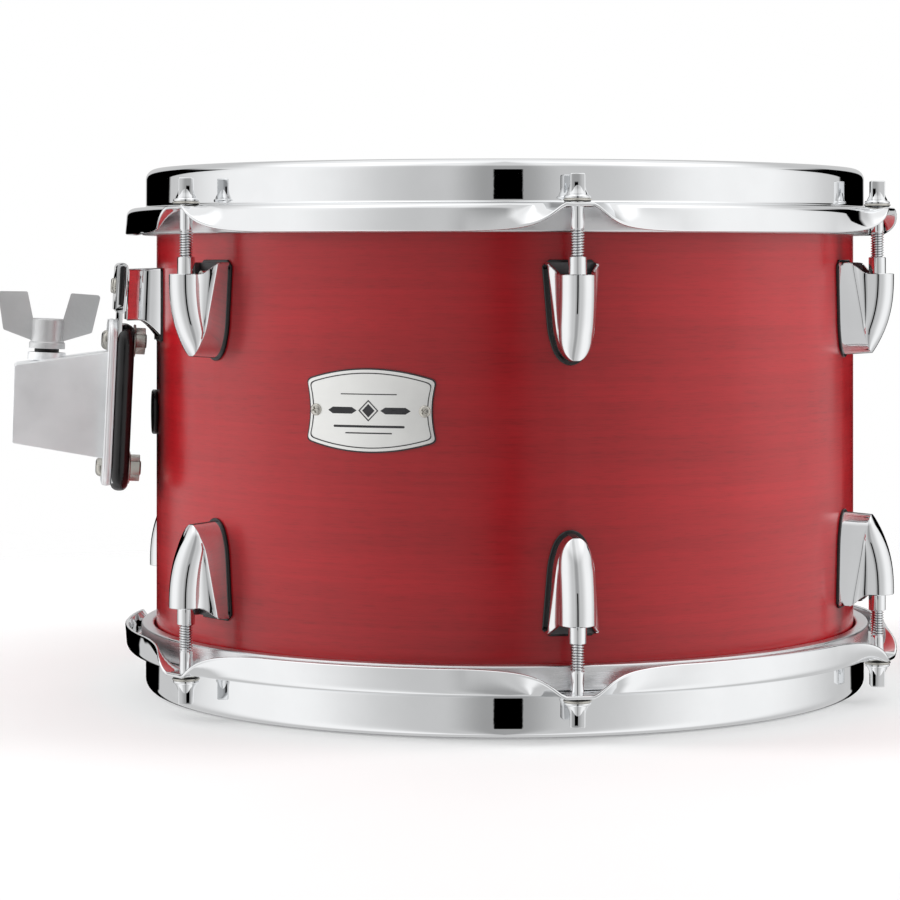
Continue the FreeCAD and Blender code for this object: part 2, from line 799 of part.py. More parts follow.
def make_rod_pattern():
    """A square-headed tension rod: collar, smooth neck, and thread cut down to its core."""
    rod = new_body("rod_pattern")
    profile = [
        ("rod_circle", "head_level + collar_height + sunk"),
        ("rod_circle + rod_head / 2 + collar_slope", "head_level + collar_height + sunk"),
        ("rod_circle + rod_collar", "head_level + collar_edge"),
        ("rod_circle + rod_collar", "head_level"),
        ("rod_circle + neck_radius", "head_level"),
        ("rod_circle + neck_radius", "thread_level"),
    ]
    turns = int(value("(thread_level - rod_tip - rod_point) / thread_pitch"))
    for i in range(turns):
        profile.append(("rod_circle + rod_radius", f"thread_level - ({i} + 0.5) * thread_pitch"))
        profile.append(("rod_circle + rod_core", f"thread_level - ({i} + 1) * thread_pitch"))
    profile.append(("rod_circle + rod_core - rod_point_inset", "rod_tip"))
    profile.append(("rod_circle", "rod_tip"))
    spin_about(rod, profile, "rod_circle", kind="Revolution")
    half = "rod_head / 2"
    extrude(rod, "XY_Plane", [rectangle(f"rod_circle - {half}", f"rod_circle + {half}",
                                        f"0 - {half}", half, "rod_head_bend")],
            "rod_head_height", offset="head_level + collar_height")
    return rod


def make_washer_pattern():
    washer = new_body("washer_pattern")
    extrude(washer, "XY_Plane", [
        ("circle", "rod_circle", "0", "washer_radius"),
        ("circle", "rod_circle", "0", "rod_radius + washer_fit"),
    ], "washer_gauge - 2 * washer_float", offset="ear_level + washer_float")
    return washer


def make_nut_pattern():
    """A swivel nut: a threaded tube with a flange that bears under the casing's top."""
    nut = new_body("nut_pattern")
    bore = "rod_circle + rod_radius + thread_fit"
    spin_about(nut, [
        (bore, "nut_top"),
        ("rod_circle + nut_radius", "nut_top"),
        ("rod_circle + nut_radius", "nut_step"),
        ("rod_circle + nut_flange", "nut_step"),
        ("rod_circle + nut_flange", "nut_step - nut_flange_height"),
        ("rod_circle + nut_radius", "nut_step - nut_flange_height"),
        ("rod_circle + nut_radius", "nut_bottom"),
        (bore, "nut_bottom"),
    ], "rod_circle", kind="Revolution")
    return nut


def make_screw_pattern():
    """A pan-head screw along X, put in from inside the shell."""
    screw = new_body("screw_pattern")
    spin(screw, [
        ("screw_start - screw_head_height", "0"),
        ("screw_start - screw_head_height", "screw_head - screw_head_bend"),
        ("screw_start - screw_head_height + screw_head_bend", "screw_head"),
        ("screw_start", "screw_head"),
        ("screw_start", "lug_screw"),
        ("screw_end", "lug_screw"),
        ("screw_end", "0"),
    ], axis="H_Axis")
    return screw


def make_lugs():
    lug = make_lug_pattern()
    rod = make_rod_pattern()
    washer = make_washer_pattern()
    nut = make_nut_pattern()
    screw = make_screw_pattern()
    gasket = make_curved_skin("lug_gasket_pattern", [
        lug_outline("lug_border"),
        *[("circle", "0", level, "lug_screw + screw_fit") for level in screw_levels()],
    ], "shell_radius", "lug_seat")
    nuts, gaskets, screws = [], [], []
    number = 0
    for side, flipped in (("batter", False), ("resonant", True)):
        for place_number, angle in enumerate(lug_angles(), start=1):
            tag = f"{side}_{place_number}"
            where = {"angle": angle, "flipped": flipped}
            keep(copy_of(lug, f"lug_casing_{tag}", **where))
            keep(copy_of(rod, f"tension_rod_{tag}", **where))
            keep(copy_of(washer, f"rod_washer_{tag}", **where))
            nuts.append(copy_of(nut, f"nut_{tag}", **where))
            gaskets.append(copy_of(gasket, f"gasket_{tag}", **where))
            for level in screw_levels():
                number += 1
                sign = "0 - " if flipped else ""
                screws.append(copy_of(screw, f"screw_{number}", angle=angle, level=sign + level))
    for sign in ("", "0 - "):
        number += 1
        post_screw = group(f"screw_{number}", [screw])
        side_step = f"{sign}post_span / 2"
        place(post_screw, angle=BRACKET_ANGLE, level="post_screw_level")
        post_screw.setExpression("Placement.Base.y", formula(side_step))
        post_screw.setExpression("Placement.Base.x", formula("post_screw_sink"))
        screws.append(post_screw)
    keep(group("lug_nuts", nuts))
    keep(group("lug_gaskets", gaskets))
    keep(group("shell_screws", screws))


# ---------------------------------------------------------------- badge and vent


def make_badge():
    """A thin shield with bowed ends and a pinched waist, and its two round-head screws."""
    half, waist = "badge_width / 2", "badge_width / 2 - badge_waist"
    side, crown = "badge_side / 2", "badge_height / 2"
    waist_bend, corner_bend, crown_bend = "badge_waist_bend", "badge_corner_bend", "badge_crown_bend"
    outline = [
        (f"0 - ({waist})", "badge_level", waist_bend),
        (f"0 - ({half})", f"badge_level - {side}", corner_bend),
        ("0 - badge_shoulder", f"badge_level - {crown}", crown_bend),
        ("badge_shoulder", f"badge_level - {crown}", crown_bend),
        (half, f"badge_level - {side}", corner_bend),
        (waist, "badge_level", waist_bend),
        (half, f"badge_level + {side}", corner_bend),
        ("badge_shoulder", f"badge_level + {crown}", crown_bend),
        ("0 - badge_shoulder", f"badge_level + {crown}", crown_bend),
        (f"0 - ({half})", f"badge_level + {side}", corner_bend),
    ]
    plate = make_curved_skin("badge_plate", [outline], "shell_radius",
                             "shell_radius + badge_gauge")
    place(plate, angle=BADGE_ANGLE)
    badge = doc.addObject("Part::Cut", "badge")
    badge.Base = plate
    badge.Tool = group("badge_holes", [
        radial_hole("badge_cut", "badge_screw + screw_fit", angle, "badge_level")
        for angle in badge_screw_angles()
    ])
    badge.Label = "badge"
    keep(badge)
    screw = new_body("badge_screw_pattern")
    face = "shell_radius + badge_gauge + badge_screw_float"
    point = "shell_radius - shell_wall + badge_screw_point"
    spin(screw, [
        (point, "0"),
        (f"{point} + badge_screw_cone", "badge_screw"),
        (face, "badge_screw"),
        (face, "badge_screw_head"),
        (f"{face} + badge_screw_height", "badge_screw_head", "badge_screw_bend"),
        (f"{face} + badge_screw_height", "0"),
    ], axis="H_Axis")
    keep(group("badge_screws", [
        copy_of(screw, f"badge_screw_{i}", angle=angle, level="badge_level")
        for i, angle in enumerate(badge_screw_angles())
    ]))


def make_vent():
    """A rubber grommet through the shell, which lets air out."""
    vent = new_body("vent_grommet")
    inner_wall = "shell_radius - shell_wall - screw_washer_gap"
    spin(vent, [
        (f"{inner_wall} - vent_lip", "vent_hole"),
        (f"{inner_wall} - vent_lip", "vent_tube + vent_lip_width"),
        (inner_wall, "vent_tube + vent_lip_width"),
        (inner_wall, "vent_tube"),
        ("shell_radius", "vent_tube"),
        ("shell_radius", "vent_flange"),
        ("shell_radius + vent_proud", "vent_flange", "vent_bend"),
        ("shell_radius + vent_proud", "vent_hole"),
    ], axis="H_Axis")
    keep(place(vent, angle=BRACKET_ANGLE, level="vent_level"))


# ---------------------------------------------------------------- mounting bracket


def make_posts():
    """Two cast posts on the shell, with sloping chins and leaning outer faces."""
    posts = new_body("bracket_posts")
    lean = "tan(bracket_tilt)"
    knee = "post_low + post_chin"
    face_low = f"hang_x + (hang_level - ({knee})) * {lean}"
    face_top = f"hang_x + (hang_level - post_top) * {lean}"
    block = extrude(posts, "XZ_Plane", [[
        ("shell_radius - overrun", "post_low - overrun"),
        ("lug_seat + post_depth", knee),
        (face_low, knee),
        (face_top, "post_top", "post_bend"),
        ("lug_seat + post_depth", "post_top + sunk"),
        ("shell_radius - overrun", "post_top - sunk"),
    ]], "post_width", offset="post_span / 2 - post_width / 2")
    seat = spin(posts, rectangle("0", "lug_seat", "post_low - 4 * overrun",
                                 "post_top + 4 * overrun"), kind="Groove")
    eye_hole = extrude(posts, "YZ_Plane", [("circle", "0 - post_span / 2", "eye_level",
                                            "eye_screw + post_hole_room")],
                       "hang_x", kind="Pocket", offset="hang_x - post_hole_depth", back=True)
    screw_hole = extrude(posts, "YZ_Plane", [("circle", "0 - post_span / 2", "post_screw_level",
                                              "lug_screw + screw_fit / 2")],
                         "screw_end + lug_screw_room", kind="Pocket", back=True)
    doc.recompute()
    mirror_across(posts, [block, seat, eye_hole, screw_hole])
    keep(place(posts, angle=BRACKET_ANGLE))
    half = "post_width / 2 + post_foot_border"
    middle = "post_span / 2"
    feet = []
    for sign in ("", "0 - "):
        inner, outer = f"{sign}({middle} - {half})", f"{sign}({middle} + {half})"
        low, high = (inner, outer) if sign == "" else (outer, inner)
        feet.append(rectangle(low, high, "post_low - post_foot_drop",
                              "post_top + post_foot_border", "post_foot_bend"))
        feet.append(("circle", f"{sign}{middle}", "post_screw_level", "lug_screw + screw_fit"))
    gaskets = make_curved_skin("bracket_gaskets", feet, "shell_radius", "lug_seat")
    keep(place(gaskets, angle=BRACKET_ANGLE))


def bolt_holes(radius):
    return [("circle", "0", level, radius) for level in ("bolt_upper", "bolt_lower")]


def eye_screw_holes(radius):
    return [("circle", f"{sign}post_span / 2", "eye_level", radius) for sign in ("", "0 - ")]


def make_hanger():
    """A steel plate with a long eye along its top, bushed with rubber where it is screwed up."""
    plate = new_body("hanger_plate")
    eye_in, eye_out = "hang_x + eye_float", "hang_x + eye_thickness"
    hollow_in, hollow_out = f"{eye_in} + eye_wall", f"{eye_out} - eye_wall"
    front, rear = "plate_x + plate_gauge", "plate_x"
    extrude(plate, "XZ_Plane", [
        [
            (rear, "pad_low + pad_floor + plate_lift"),
            (front, "pad_low + pad_floor + plate_lift"),
            (front, "eye_low - eye_slope"),
            (eye_out, "eye_low"),
            (eye_out, "eye_top", "eye_thickness / 2 - eye_end_ease"),
            (eye_in, "eye_top", "eye_thickness / 2 - eye_end_ease"),
            (eye_in, "eye_low"),
            (rear, "eye_low - eye_slope"),
        ],
        rectangle(hollow_in, hollow_out, "eye_low + eye_wall", "eye_top - eye_wall",
                  "hollow_bend"),
    ], "plate_width", both=True)
    through = "hang_x + 4 * overrun"
    extrude(plate, "YZ_Plane", bolt_holes("bracket_bolt + bracket_bolt_fit"), through,
            kind="Pocket", back=True)
    extrude(plate, "YZ_Plane", eye_screw_holes("eye_screw + eye_screw_fit"), through,
            kind="Pocket", back=True)
    keep(place(plate, angle=BRACKET_ANGLE, tilted=True))
    bush = new_body("hanger_grommets")
    block = extrude(bush, "XZ_Plane", [
        rectangle(f"{hollow_in} + grommet_ease", f"{hollow_out} - grommet_ease",
                  "eye_low + eye_wall + grommet_low_gap", "eye_top - eye_wall - grommet_top_gap",
                  "hollow_bend"),
    ], "post_width", offset="post_span / 2 - post_width / 2")
    hole = extrude(bush, "YZ_Plane", [("circle", "0 - post_span / 2", "eye_level",
                                       "eye_screw + eye_screw_fit")], through,
                   kind="Pocket", back=True)
    doc.recompute()
    mirror_across(bush, [block, hole])
    keep(place(bush, angle=BRACKET_ANGLE, tilted=True))


def make_pad():
    """A rubber boot over the hanger plate, which keeps the clamp off the metal."""
    pad = new_body("isolation_pad")
    half = "pad_width / 2"
    extrude(pad, "YZ_Plane", [
        rectangle(f"0 - {half}", half, "pad_low", "pad_top", "pad_bend"),
        *bolt_holes("bracket_bolt + bracket_bolt_fit"),
    ], "pad_gauge", offset="pad_x")
    slot = "plate_width / 2 + pad_slot_fit"
    extrude(pad, "YZ_Plane", [
        rectangle(f"0 - ({slot})", slot, "pad_low + pad_floor", "pad_top + overrun"),
    ], "plate_gauge + pad_slot_fit", kind="Pocket", offset="plate_x - pad_slot_fit / 2", back=True)
    keep(place(pad, angle=BRACKET_ANGLE, tilted=True))


def make_clamp():
    """A cast box with an oval flange, a hexagonal socket for the tom arm, and a pressing shoe."""
    clamp = new_body("clamp_body")
    half = "pad_width / 2 - flange_margin"
    extrude(clamp, "YZ_Plane", [
        rectangle(f"0 - ({half})", half, "pad_low + flange_margin", "pad_top + flange_rise",
                  "pad_bend"),
        *bolt_holes("bracket_bolt + bracket_bolt_fit"),
    ], "flange_gauge", offset="flange_x + flange_float")
    extrude(clamp, "XZ_Plane", [[
        ("flange_x + sunk", "clamp_bottom"),
        ("clamp_end - clamp_nose", "clamp_bottom + clamp_bottom_rise", "clamp_low_bend"),
        ("clamp_end", "clamp_top - clamp_top_fall", "clamp_top_bend"),
        ("flange_x + sunk", "clamp_top"),
    ]], "clamp_width", both=True)
    extrude(clamp, "XY_Plane", [("circle", "wing_x", "0", "boss_radius")],
            "boss_level - socket_level - socket_width", offset="socket_level + socket_width")
    extrude(clamp, "YZ_Plane", [hexagon("0", "socket_level", "socket_width")],
            "socket_depth + overrun", kind="Pocket", offset="clamp_end - socket_depth", back=True)
    extrude(clamp, "XY_Plane", [("circle", "wing_x", "0", "shoe_radius + slide_fit")],
            "shoe_top + shoe_travel + shoe_room - socket_level", kind="Pocket",
            offset="socket_level", back=True)
    extrude(clamp, "XY_Plane", [("circle", "wing_x", "0", "wing_thread + thread_fit")],
            "boss_level", kind="Pocket", offset="socket_level", back=True)
    keep(place(clamp, angle=BRACKET_ANGLE, tilted=True))
    shoe = new_body("clamp_shoe")
    extrude(shoe, "XY_Plane", [("circle", "wing_x", "0", "shoe_radius")], "shoe_height",
            offset="shoe_low")
    keep(place(shoe, angle=BRACKET_ANGLE, tilted=True))


def make_wing_bolt():
    """A wing bolt turning about an upright axis through the clamp's boss, and its washer."""
    wing = new_body("wing_bolt")
    tip = "shoe_top + slide_fit"
    top = "hub_level + hub_height"
    spin_about(wing, [
        ("wing_x", tip),
        ("wing_x + wing_thread", tip),
        ("wing_x + wing_thread", "hub_level"),
        ("wing_x + hub_collar", "hub_level"),
        ("wing_x + hub_collar", "hub_level + hub_step"),
        ("wing_x + hub_radius", "hub_level + hub_step_end"),
        ("wing_x + hub_radius", top, "hub_bend"),
        ("wing_x", top),
    ], "wing_x", kind="Revolution")
    root_low = "hub_level + wing_root_rise"
    root_top = f"{top} - wing_root_drop"
    tip_top = "hub_level + wing_height"
    for side in ("wing_x +", "wing_x -"):
        extrude(wing, "XZ_Plane", [[
            (f"{side} wing_root", root_low),
            (f"{side} hub_radius", f"{root_low} + wing_root_slope"),
            (f"{side} wing_low_reach", "hub_level + wing_low_rise", "wing_bend"),
            (f"{side} wing_span / 2", f"{tip_top} - wing_tip_fall", "wing_bend"),
            (f"{side} (wing_span / 2 - wing_tip_width)", tip_top, "wing_inner_bend"),
            (f"{side} wing_neck", root_top),
            (f"{side} wing_root", root_top),
        ]], "wing_gauge", both=True)
    keep(place(wing, angle=BRACKET_ANGLE, tilted=True))
    washer = new_body("wing_bolt_washer")
    extrude(washer, "XY_Plane", [
        ("circle", "wing_x", "0", "hub_washer"),
        ("circle", "wing_x", "0", "wing_thread + hub_washer_fit"),
    ], "hub_washer_gauge", offset="boss_level")
    keep(place(washer, angle=BRACKET_ANGLE, tilted=True))


def make_fasteners():
    """Domed bolts through flange, pad and plate, their flanged nuts, and the eye's screws."""
    bolt = new_body("bracket_bolt_pattern")
    head = "clamp_x + flange_float"
    end = "pad_x - nut_washer_gauge - nut_height - bolt_end"
    spin(bolt, [
        (f"{head} + bolt_head_height", "0"),
        (f"{head} + bolt_head_height", "bolt_head", "bolt_head_bend"),
        (head, "bolt_head"),
        (head, "bracket_bolt"),
        (end, "bracket_bolt"),
        (end, "0"),
    ], axis="H_Axis")
    nut = new_body("bracket_nut_pattern")
    back = "pad_x - flange_float"
    spin(nut, [
        (back, "bracket_bolt + thread_fit"),
        (back, "nut_washer"),
        (f"{back} - nut_washer_gauge", "nut_washer"),
        (f"{back} - nut_washer_gauge", "bracket_bolt + thread_fit"),
    ], axis="H_Axis")
    extrude(nut, "YZ_Plane", [
        hexagon("0", "0", "bolt_nut * 2", across="z"),
        ("circle", "0", "0", "bracket_bolt + thread_fit"),
    ], "nut_height", offset=f"{back} - nut_washer_gauge - nut_height")
    eye = new_body("eye_screw_pattern")
    cap = "hang_x + eye_thickness + eye_screw_float"
    tail = "hang_x - eye_screw_reach"
    spin(eye, [
        (f"{cap} + eye_screw_height", "0"),
        (f"{cap} + eye_screw_height", "eye_screw_head", "eye_screw_bend"),
        (cap, "eye_screw_head"),
        (cap, "eye_screw"),
        (tail, "eye_screw"),
        (tail, "0"),
    ], axis="H_Axis")
    bolts, nuts = [], []
    for level in ("bolt_upper", "bolt_lower"):
        bolts.append(raised(bolt, f"bolt_at_{level}", level))
        nuts.append(raised(nut, f"nut_at_{level}", level))
    for number, sign in enumerate(("", "0 - ")):
        bolts.append(raised(eye, f"eye_screw_{number}", "eye_level", f"{sign}post_span / 2"))
    keep(place(group("bracket_bolts", bolts), angle=BRACKET_ANGLE, tilted=True))
    keep(place(group("bracket_nuts", nuts), angle=BRACKET_ANGLE, tilted=True))


def raised(pattern, name, level, side="0"):
    """A copy of a piece drawn on the X axis, moved up and sideways."""
    piece = group(name, [pattern])
    piece.setExpression("Placement.Base.z", formula(level))
    piece.setExpression("Placement.Base.y", formula(side))
    return piece


# ---------------------------------------------------------------- checks and files


def check_document():
    """Stop if any object failed, or any kept piece has no valid solid."""
    for item in doc.Objects:
        for state in ("Invalid", "Error"):
            if state in item.State:
                raise RuntimeError(f"{item.Name} is {item.State}")
    for node in nodes:
        shape = node.Shape
        if shape.isNull() or not shape.isValid() or not shape.Solids:
            raise RuntimeError(f"{node.Name} has no valid solid")


def write_nodes():
    os.makedirs("parts", exist_ok=True)
    for node in nodes:
        node.Shape.exportStep(f"parts/{node.Label}.step")


fill_sheet()
make_shell()
make_heads()
make_hoops()
make_lugs()
make_badge()
make_vent()
make_posts()
make_hanger()
make_pad()
make_clamp()
make_wing_bolt()
make_fasteners()
doc.recompute()
check_document()
write_nodes()
print(len(nodes), "nodes written")
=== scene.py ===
"""A twelve inch rack tom, finished around its packed frame.

The file is laid out as an add-on and run as a script. Each operator makes one piece, or one group
of like pieces. Lengths are in metres, and heights with the name level are measured from the middle
of the drum, so that both ends of it are made from the same numbers.
"""

from math import asin, atan2, cos, degrees, exp, pi, radians, sin, sqrt, tau

import bmesh
import bpy
from bpy.props import FloatProperty, FloatVectorProperty, IntProperty, PointerProperty
from mathutils import Matrix, Vector


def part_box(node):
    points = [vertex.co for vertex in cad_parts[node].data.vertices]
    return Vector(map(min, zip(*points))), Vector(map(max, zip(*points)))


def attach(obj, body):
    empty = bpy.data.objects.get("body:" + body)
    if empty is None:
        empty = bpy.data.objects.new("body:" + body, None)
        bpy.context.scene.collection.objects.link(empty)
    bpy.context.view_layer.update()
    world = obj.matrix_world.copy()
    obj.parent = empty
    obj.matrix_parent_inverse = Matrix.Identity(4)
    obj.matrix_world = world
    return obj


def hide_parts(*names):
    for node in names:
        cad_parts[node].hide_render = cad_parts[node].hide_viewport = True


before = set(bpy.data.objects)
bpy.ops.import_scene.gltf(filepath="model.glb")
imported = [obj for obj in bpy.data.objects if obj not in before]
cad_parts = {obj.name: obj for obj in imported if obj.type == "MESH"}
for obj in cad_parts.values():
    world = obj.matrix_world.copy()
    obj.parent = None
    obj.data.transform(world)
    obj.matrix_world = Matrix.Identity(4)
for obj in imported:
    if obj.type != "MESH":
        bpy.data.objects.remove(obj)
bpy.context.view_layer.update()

bl_info = {
    "name": "Rack Tom",
    "version": (1, 0, 0),
    "blender": (4, 5, 0),
    "location": "3D View > Sidebar > Tom",
    "description": "Makes the finished pieces of a twelve inch rack tom around its packed frame",
    "category": "Object",
}

DRUM = "drum"
FINISH = "tom_"
SIDES = {"batter": 1, "resonant": -1}
LUG_ANGLES = [radians(30 + 60 * count) for count in range(6)]
MERGE = 1e-7
BRACKET_TILT = radians(2.6)
ROD_HEAD_HEIGHT = 0.0098

hoop_low, hoop_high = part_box("batter_hoop")
MIDDLE = hoop_high.z / 2
RIM_LEVEL = hoop_high.z - MIDDLE
SKIRT_RADIUS = hoop_high.x
EAR_REACH = hoop_high.y
SKIRT_LEVEL = hoop_low.z - MIDDLE
SHELL_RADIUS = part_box("shell")[1].x
rod_low, rod_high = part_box("tension_rod_batter_2")
ROD_CIRCLE = (rod_low.y + rod_high.y) / 2
ROD_TIP_LEVEL = rod_low.z - MIDDLE
ROD_HEAD_LEVEL = rod_high.z - MIDDLE


# ---------------------------------------------------------------- sizes and colours


def length(name, description, default):
    """A length that a user may change, in metres."""
    return FloatProperty(
        name=name, description=description, default=default, min=0.0, unit="LENGTH", precision=5
    )


def colour(name, description, default):
    """A colour that a user may change."""
    return FloatVectorProperty(
        name=name, description=description, default=default, size=3, min=0.0, max=1.0, subtype="COLOR"
    )


class TomFinishes(bpy.types.PropertyGroup):
    """Colours of the drum's finishes."""

    stain: colour("Stain", "Red stain on the outside of the shell", (0.35, 0.003, 0.0075))
    stain_dark: colour(
        "Stain in the grain", "Stain where the grain takes more of it", (0.18, 0.001, 0.003)
    )
    maple: colour("Bare maple", "Wood inside the shell", (0.56, 0.36, 0.19))
    maple_dark: colour("Bare maple grain", "Grain lines inside the shell", (0.37, 0.2, 0.09))
    chrome: colour("Chrome", "Bright plating of hoops, lugs and rods", (0.86, 0.87, 0.88))
    casting: colour("Satin casting", "Matt plating of the clamp and the wing bolt", (0.93, 0.945, 0.96))
    # Partly painted shade: the wing bolt is made darker than the clamp for its blasted finish and also for
    # blades turned away from the light.
    wing: colour("Blasted casting", "Duller plating of the wing bolt", (0.62, 0.625, 0.63))
    # Painted shade: a dark metal colour put inside the lug casings and at the roots of the threads, where
    # shade falls.
    raw_casting: colour(
        "Raw casting", "Inside of the lug casings and the roots of the threads", (0.16, 0.16, 0.165)
    )
    zinc: colour("Zinc", "Plating of the nuts and washers", (0.62, 0.6, 0.55))
    aluminium: colour("Aluminium", "Bare flesh hoops of the heads", (0.8, 0.8, 0.81))
    rubber: colour("Rubber", "Gaskets and the isolation pad", (0.006, 0.006, 0.0065))
    nylon: colour("Nylon", "Washers and the vent grommet", (0.008, 0.008, 0.0085))
    coating: colour("Head coating", "White spray coat of the batter head", (0.78, 0.78, 0.75))
    badge_face: colour("Badge face", "Plate of the badge", (0.9, 0.9, 0.88))
    badge_ink: colour("Badge enamel", "Dark lines on the badge", (0.02, 0.02, 0.022))


class TomHoopSizes(bpy.types.PropertyGroup):
    """Sizes of the two pressed hoops."""

    gauge: length("Gauge", "Thickness of the steel", 0.0016)
    wall_radius: length("Wall radius", "Outside of the upright wall", 0.1566)
    lip_radius: length("Lip radius", "Inner edge of the lip that is rolled inwards", 0.1492)
    rim_bend: length("Rim bend", "Outer radius of the bend from the wall to the lip", 0.0045)
    ear_level: length("Ear level", "Top of the ears above the middle of the drum", 0.095)
    root_bend: length("Root bend", "Radius in the corner between wall and flange", 0.0012)
    skirt_bend: length("Skirt bend", "Outer radius of the bend from flange to skirt", 0.0035)
    flare: length("Flare", "How far the skirt leans outwards to its free edge", 0.0009)
    ear_flat: length("Ear flat", "Half width of the level part of an ear", 0.005)
    ear_sweep: length(
        "Ear sweep", "How far along the rim the skirt takes to fold up into an ear", 0.0098
    )
    steps: IntProperty(name="Steps", description="Divisions round a hoop", default=600, min=60)


class TomLugSizes(bpy.types.PropertyGroup):
    """Sizes of the lug casings and their gaskets."""

    seat: length("Seat radius", "Radius of the casing's seat on the gasket", 0.153)
    nose_radius: length("Nose radius", "Radius of the rounded front", 0.007)
    nose_reach: length("Nose reach", "Seat to the front of the nose", 0.0206)
    tip_reach: length("Tip reach", "Seat to the point at the foot", 0.0114)
    crease_width: length("Crease half width", "Half width between the creases at the top", 0.0102)
    crease_reach: length("Crease reach", "Seat to the top of a crease", 0.0055)
    crease_round: length("Crease round", "Softness of the crease", 0.0006)
    base_flare: length("Base flare", "How much wider the seat is than the creases at the foot", 0.0008)
    back_level: length("Back level", "Top of the back edge above the middle of the drum", 0.0718)
    front_level: length("Front level", "Top of the nose above the middle of the drum", 0.0672)
    foot_level: length("Foot level", "Lowest edge above the middle of the drum", 0.033)
    wall: length("Wall", "Thickness of the cast wall at the mouth", 0.0015)
    border: length("Gasket border", "Gasket that shows round the casing", 0.0011)


class TomRodSizes(bpy.types.PropertyGroup):
    """Sizes of the tension rods, washers and lug nuts."""

    pitch: length("Thread pitch", "Rise of the thread in a turn", 0.001058)
    crest: length("Thread radius", "Outside of the thread", 0.00278)
    core: length("Thread core", "Bottom of the thread", 0.00215)
    neck: length("Neck radius", "Plain neck under the head", 0.00262)
    thread_level: length("Thread level", "Top of the thread above the middle of the drum", 0.085)
    collar: length("Collar radius", "Round foot of the head", 0.0052)
    head: length("Head width", "Square of the head across its flats", 0.0058)
    washer: length("Washer radius", "Outside of the steel washer", 0.0056)
    nut: length("Nut radius", "Outside of the swivel nut", 0.0036)
    nut_level: length("Nut level", "Top of the swivel nut above the middle of the drum", 0.074)


class TomBadgeSizes(bpy.types.PropertyGroup):
    """Sizes of the badge on the shell."""

    width: length("Width", "Badge across the shell", 0.0545)
    height: length("Height", "Badge from its top to its foot", 0.032)
    side: length("Side height", "Height of the badge's sides", 0.0234)
    waist: length("Waist", "How far the sides pull in at the screws", 0.0017)
    gauge: length("Gauge", "Thickness of the plate", 0.0008)
    screw_span: length("Screw span", "From one screw to the other", 0.046)
    screw_head: length("Screw head", "Radius of a screw's head", 0.0024)
    level: length("Level", "Middle of the badge above the middle of the drum", 0.014)
    angle: FloatProperty(
        name="Place",
        description="Where the badge sits round the shell",
        default=radians(240),
        subtype="ANGLE",
    )


class TomStudio(bpy.types.PropertyGroup):
    """Lights and camera."""

    azimuth: FloatProperty(
        name="Azimuth",
        description="Side of the camera round the drum",
        default=radians(-9.6),
        subtype="ANGLE",
    )
    distance: length("Distance", "Camera to the axis of the drum", 1.267)
    height: length("Height", "Camera above the floor", 0.184)
    lens: FloatProperty(name="Lens", description="Focal length in millimetres", default=115.3, min=1.0)
    fill: FloatProperty(name="Fill", description="Light from the pale walls", default=0.62, min=0.0)
    softbox: FloatProperty(
        name="Side walls", description="How much brighter the side walls are", default=0.42, min=0.0
    )
    overhead: FloatProperty(
        name="Overhead", description="How much brighter the ceiling is", default=0.35, min=0.0
    )
    front_dim: FloatProperty(
        name="Front dim", description="How much dimmer it is behind the camera", default=0.25, min=0.0
    )
    softbox_power: FloatProperty(
        name="Softbox power", description="Power of each side softbox", default=10.0, min=0.0
    )
    softbox_angle: FloatProperty(
        name="Softbox angle",
        description="Side softboxes from the camera's side",
        default=radians(88),
        subtype="ANGLE",
    )


SETTINGS = {
    "tom_finishes": TomFinishes,
    "tom_hoops": TomHoopSizes,
    "tom_lugs": TomLugSizes,
    "tom_rods": TomRodSizes,
    "tom_badge": TomBadgeSizes,
    "tom_studio": TomStudio,
}


# ---------------------------------------------------------------- nodes


class Bench:
    """Adds nodes to one tree and joins them."""

    def __init__(self, tree):
        self.tree = tree

    def add(self, kind, inputs=None, **settings):
        """A node with its settings made, and each input given a value or joined to a socket."""
        node = self.tree.nodes.new(kind)
        for key, value in settings.items():
            setattr(node, key, value)
        for key, value in (inputs or {}).items():
            socket = node.inputs[key]
            if isinstance(value, bpy.types.NodeSocket):
                self.tree.links.new(value, socket)
            else:
                socket.default_value = value
        return node

    def math(self, operation, *values):
        """The result of a math node."""
        return self.add("ShaderNodeMath", dict(enumerate(values)), operation=operation).outputs[0]

    def remap(self, value, low, high, to_low=0.0, to_high=1.0):
        """Value carried from one range to another with soft ends."""
        inputs = {
            "Value": value, "From Min": low, "From Max": high, "To Min": to_low, "To Max": to_high
        }
        return self.add("ShaderNodeMapRange", inputs, interpolation_type="SMOOTHSTEP").outputs["Result"]

    def mix(self, factor, first, second):
        """Two colours mixed by a factor."""
        node = self.add("ShaderNodeMix", data_type="RGBA")
        for index, value in ((0, factor), (6, first), (7, second)):
            if isinstance(value, bpy.types.NodeSocket):
                self.tree.links.new(value, node.inputs[index])
            else:
                node.inputs[index].default_value = value
        return node.outputs[2]

    def group(self, name, **inputs):
        """A shared group placed in this tree. Underscores in an input's name stand for spaces."""
        node = self.tree.nodes.new("ShaderNodeGroup")
        node.node_tree = bpy.data.node_groups[name]
        for key, value in inputs.items():
            socket = node.inputs[key.replace("_", " ")]
            if isinstance(value, bpy.types.NodeSocket):
                self.tree.links.new(value, socket)
            else:
                socket.default_value = value
        return node.outputs


def new_group(name, inputs, outputs):
    """An empty shader group with named sockets: its bench, its inputs and its output node."""
    tree = bpy.data.node_groups.new(name, "ShaderNodeTree")
    for label, kind, default in inputs:
        socket = tree.interface.new_socket(label, in_out="INPUT", socket_type="NodeSocket" + kind)
        if default is not None:
            socket.default_value = default
    for label, kind in outputs:
        tree.interface.new_socket(label, in_out="OUTPUT", socket_type="NodeSocket" + kind)
    bench = Bench(tree)
    return bench, bench.add("NodeGroupInput").outputs, bench.add("NodeGroupOutput").inputs


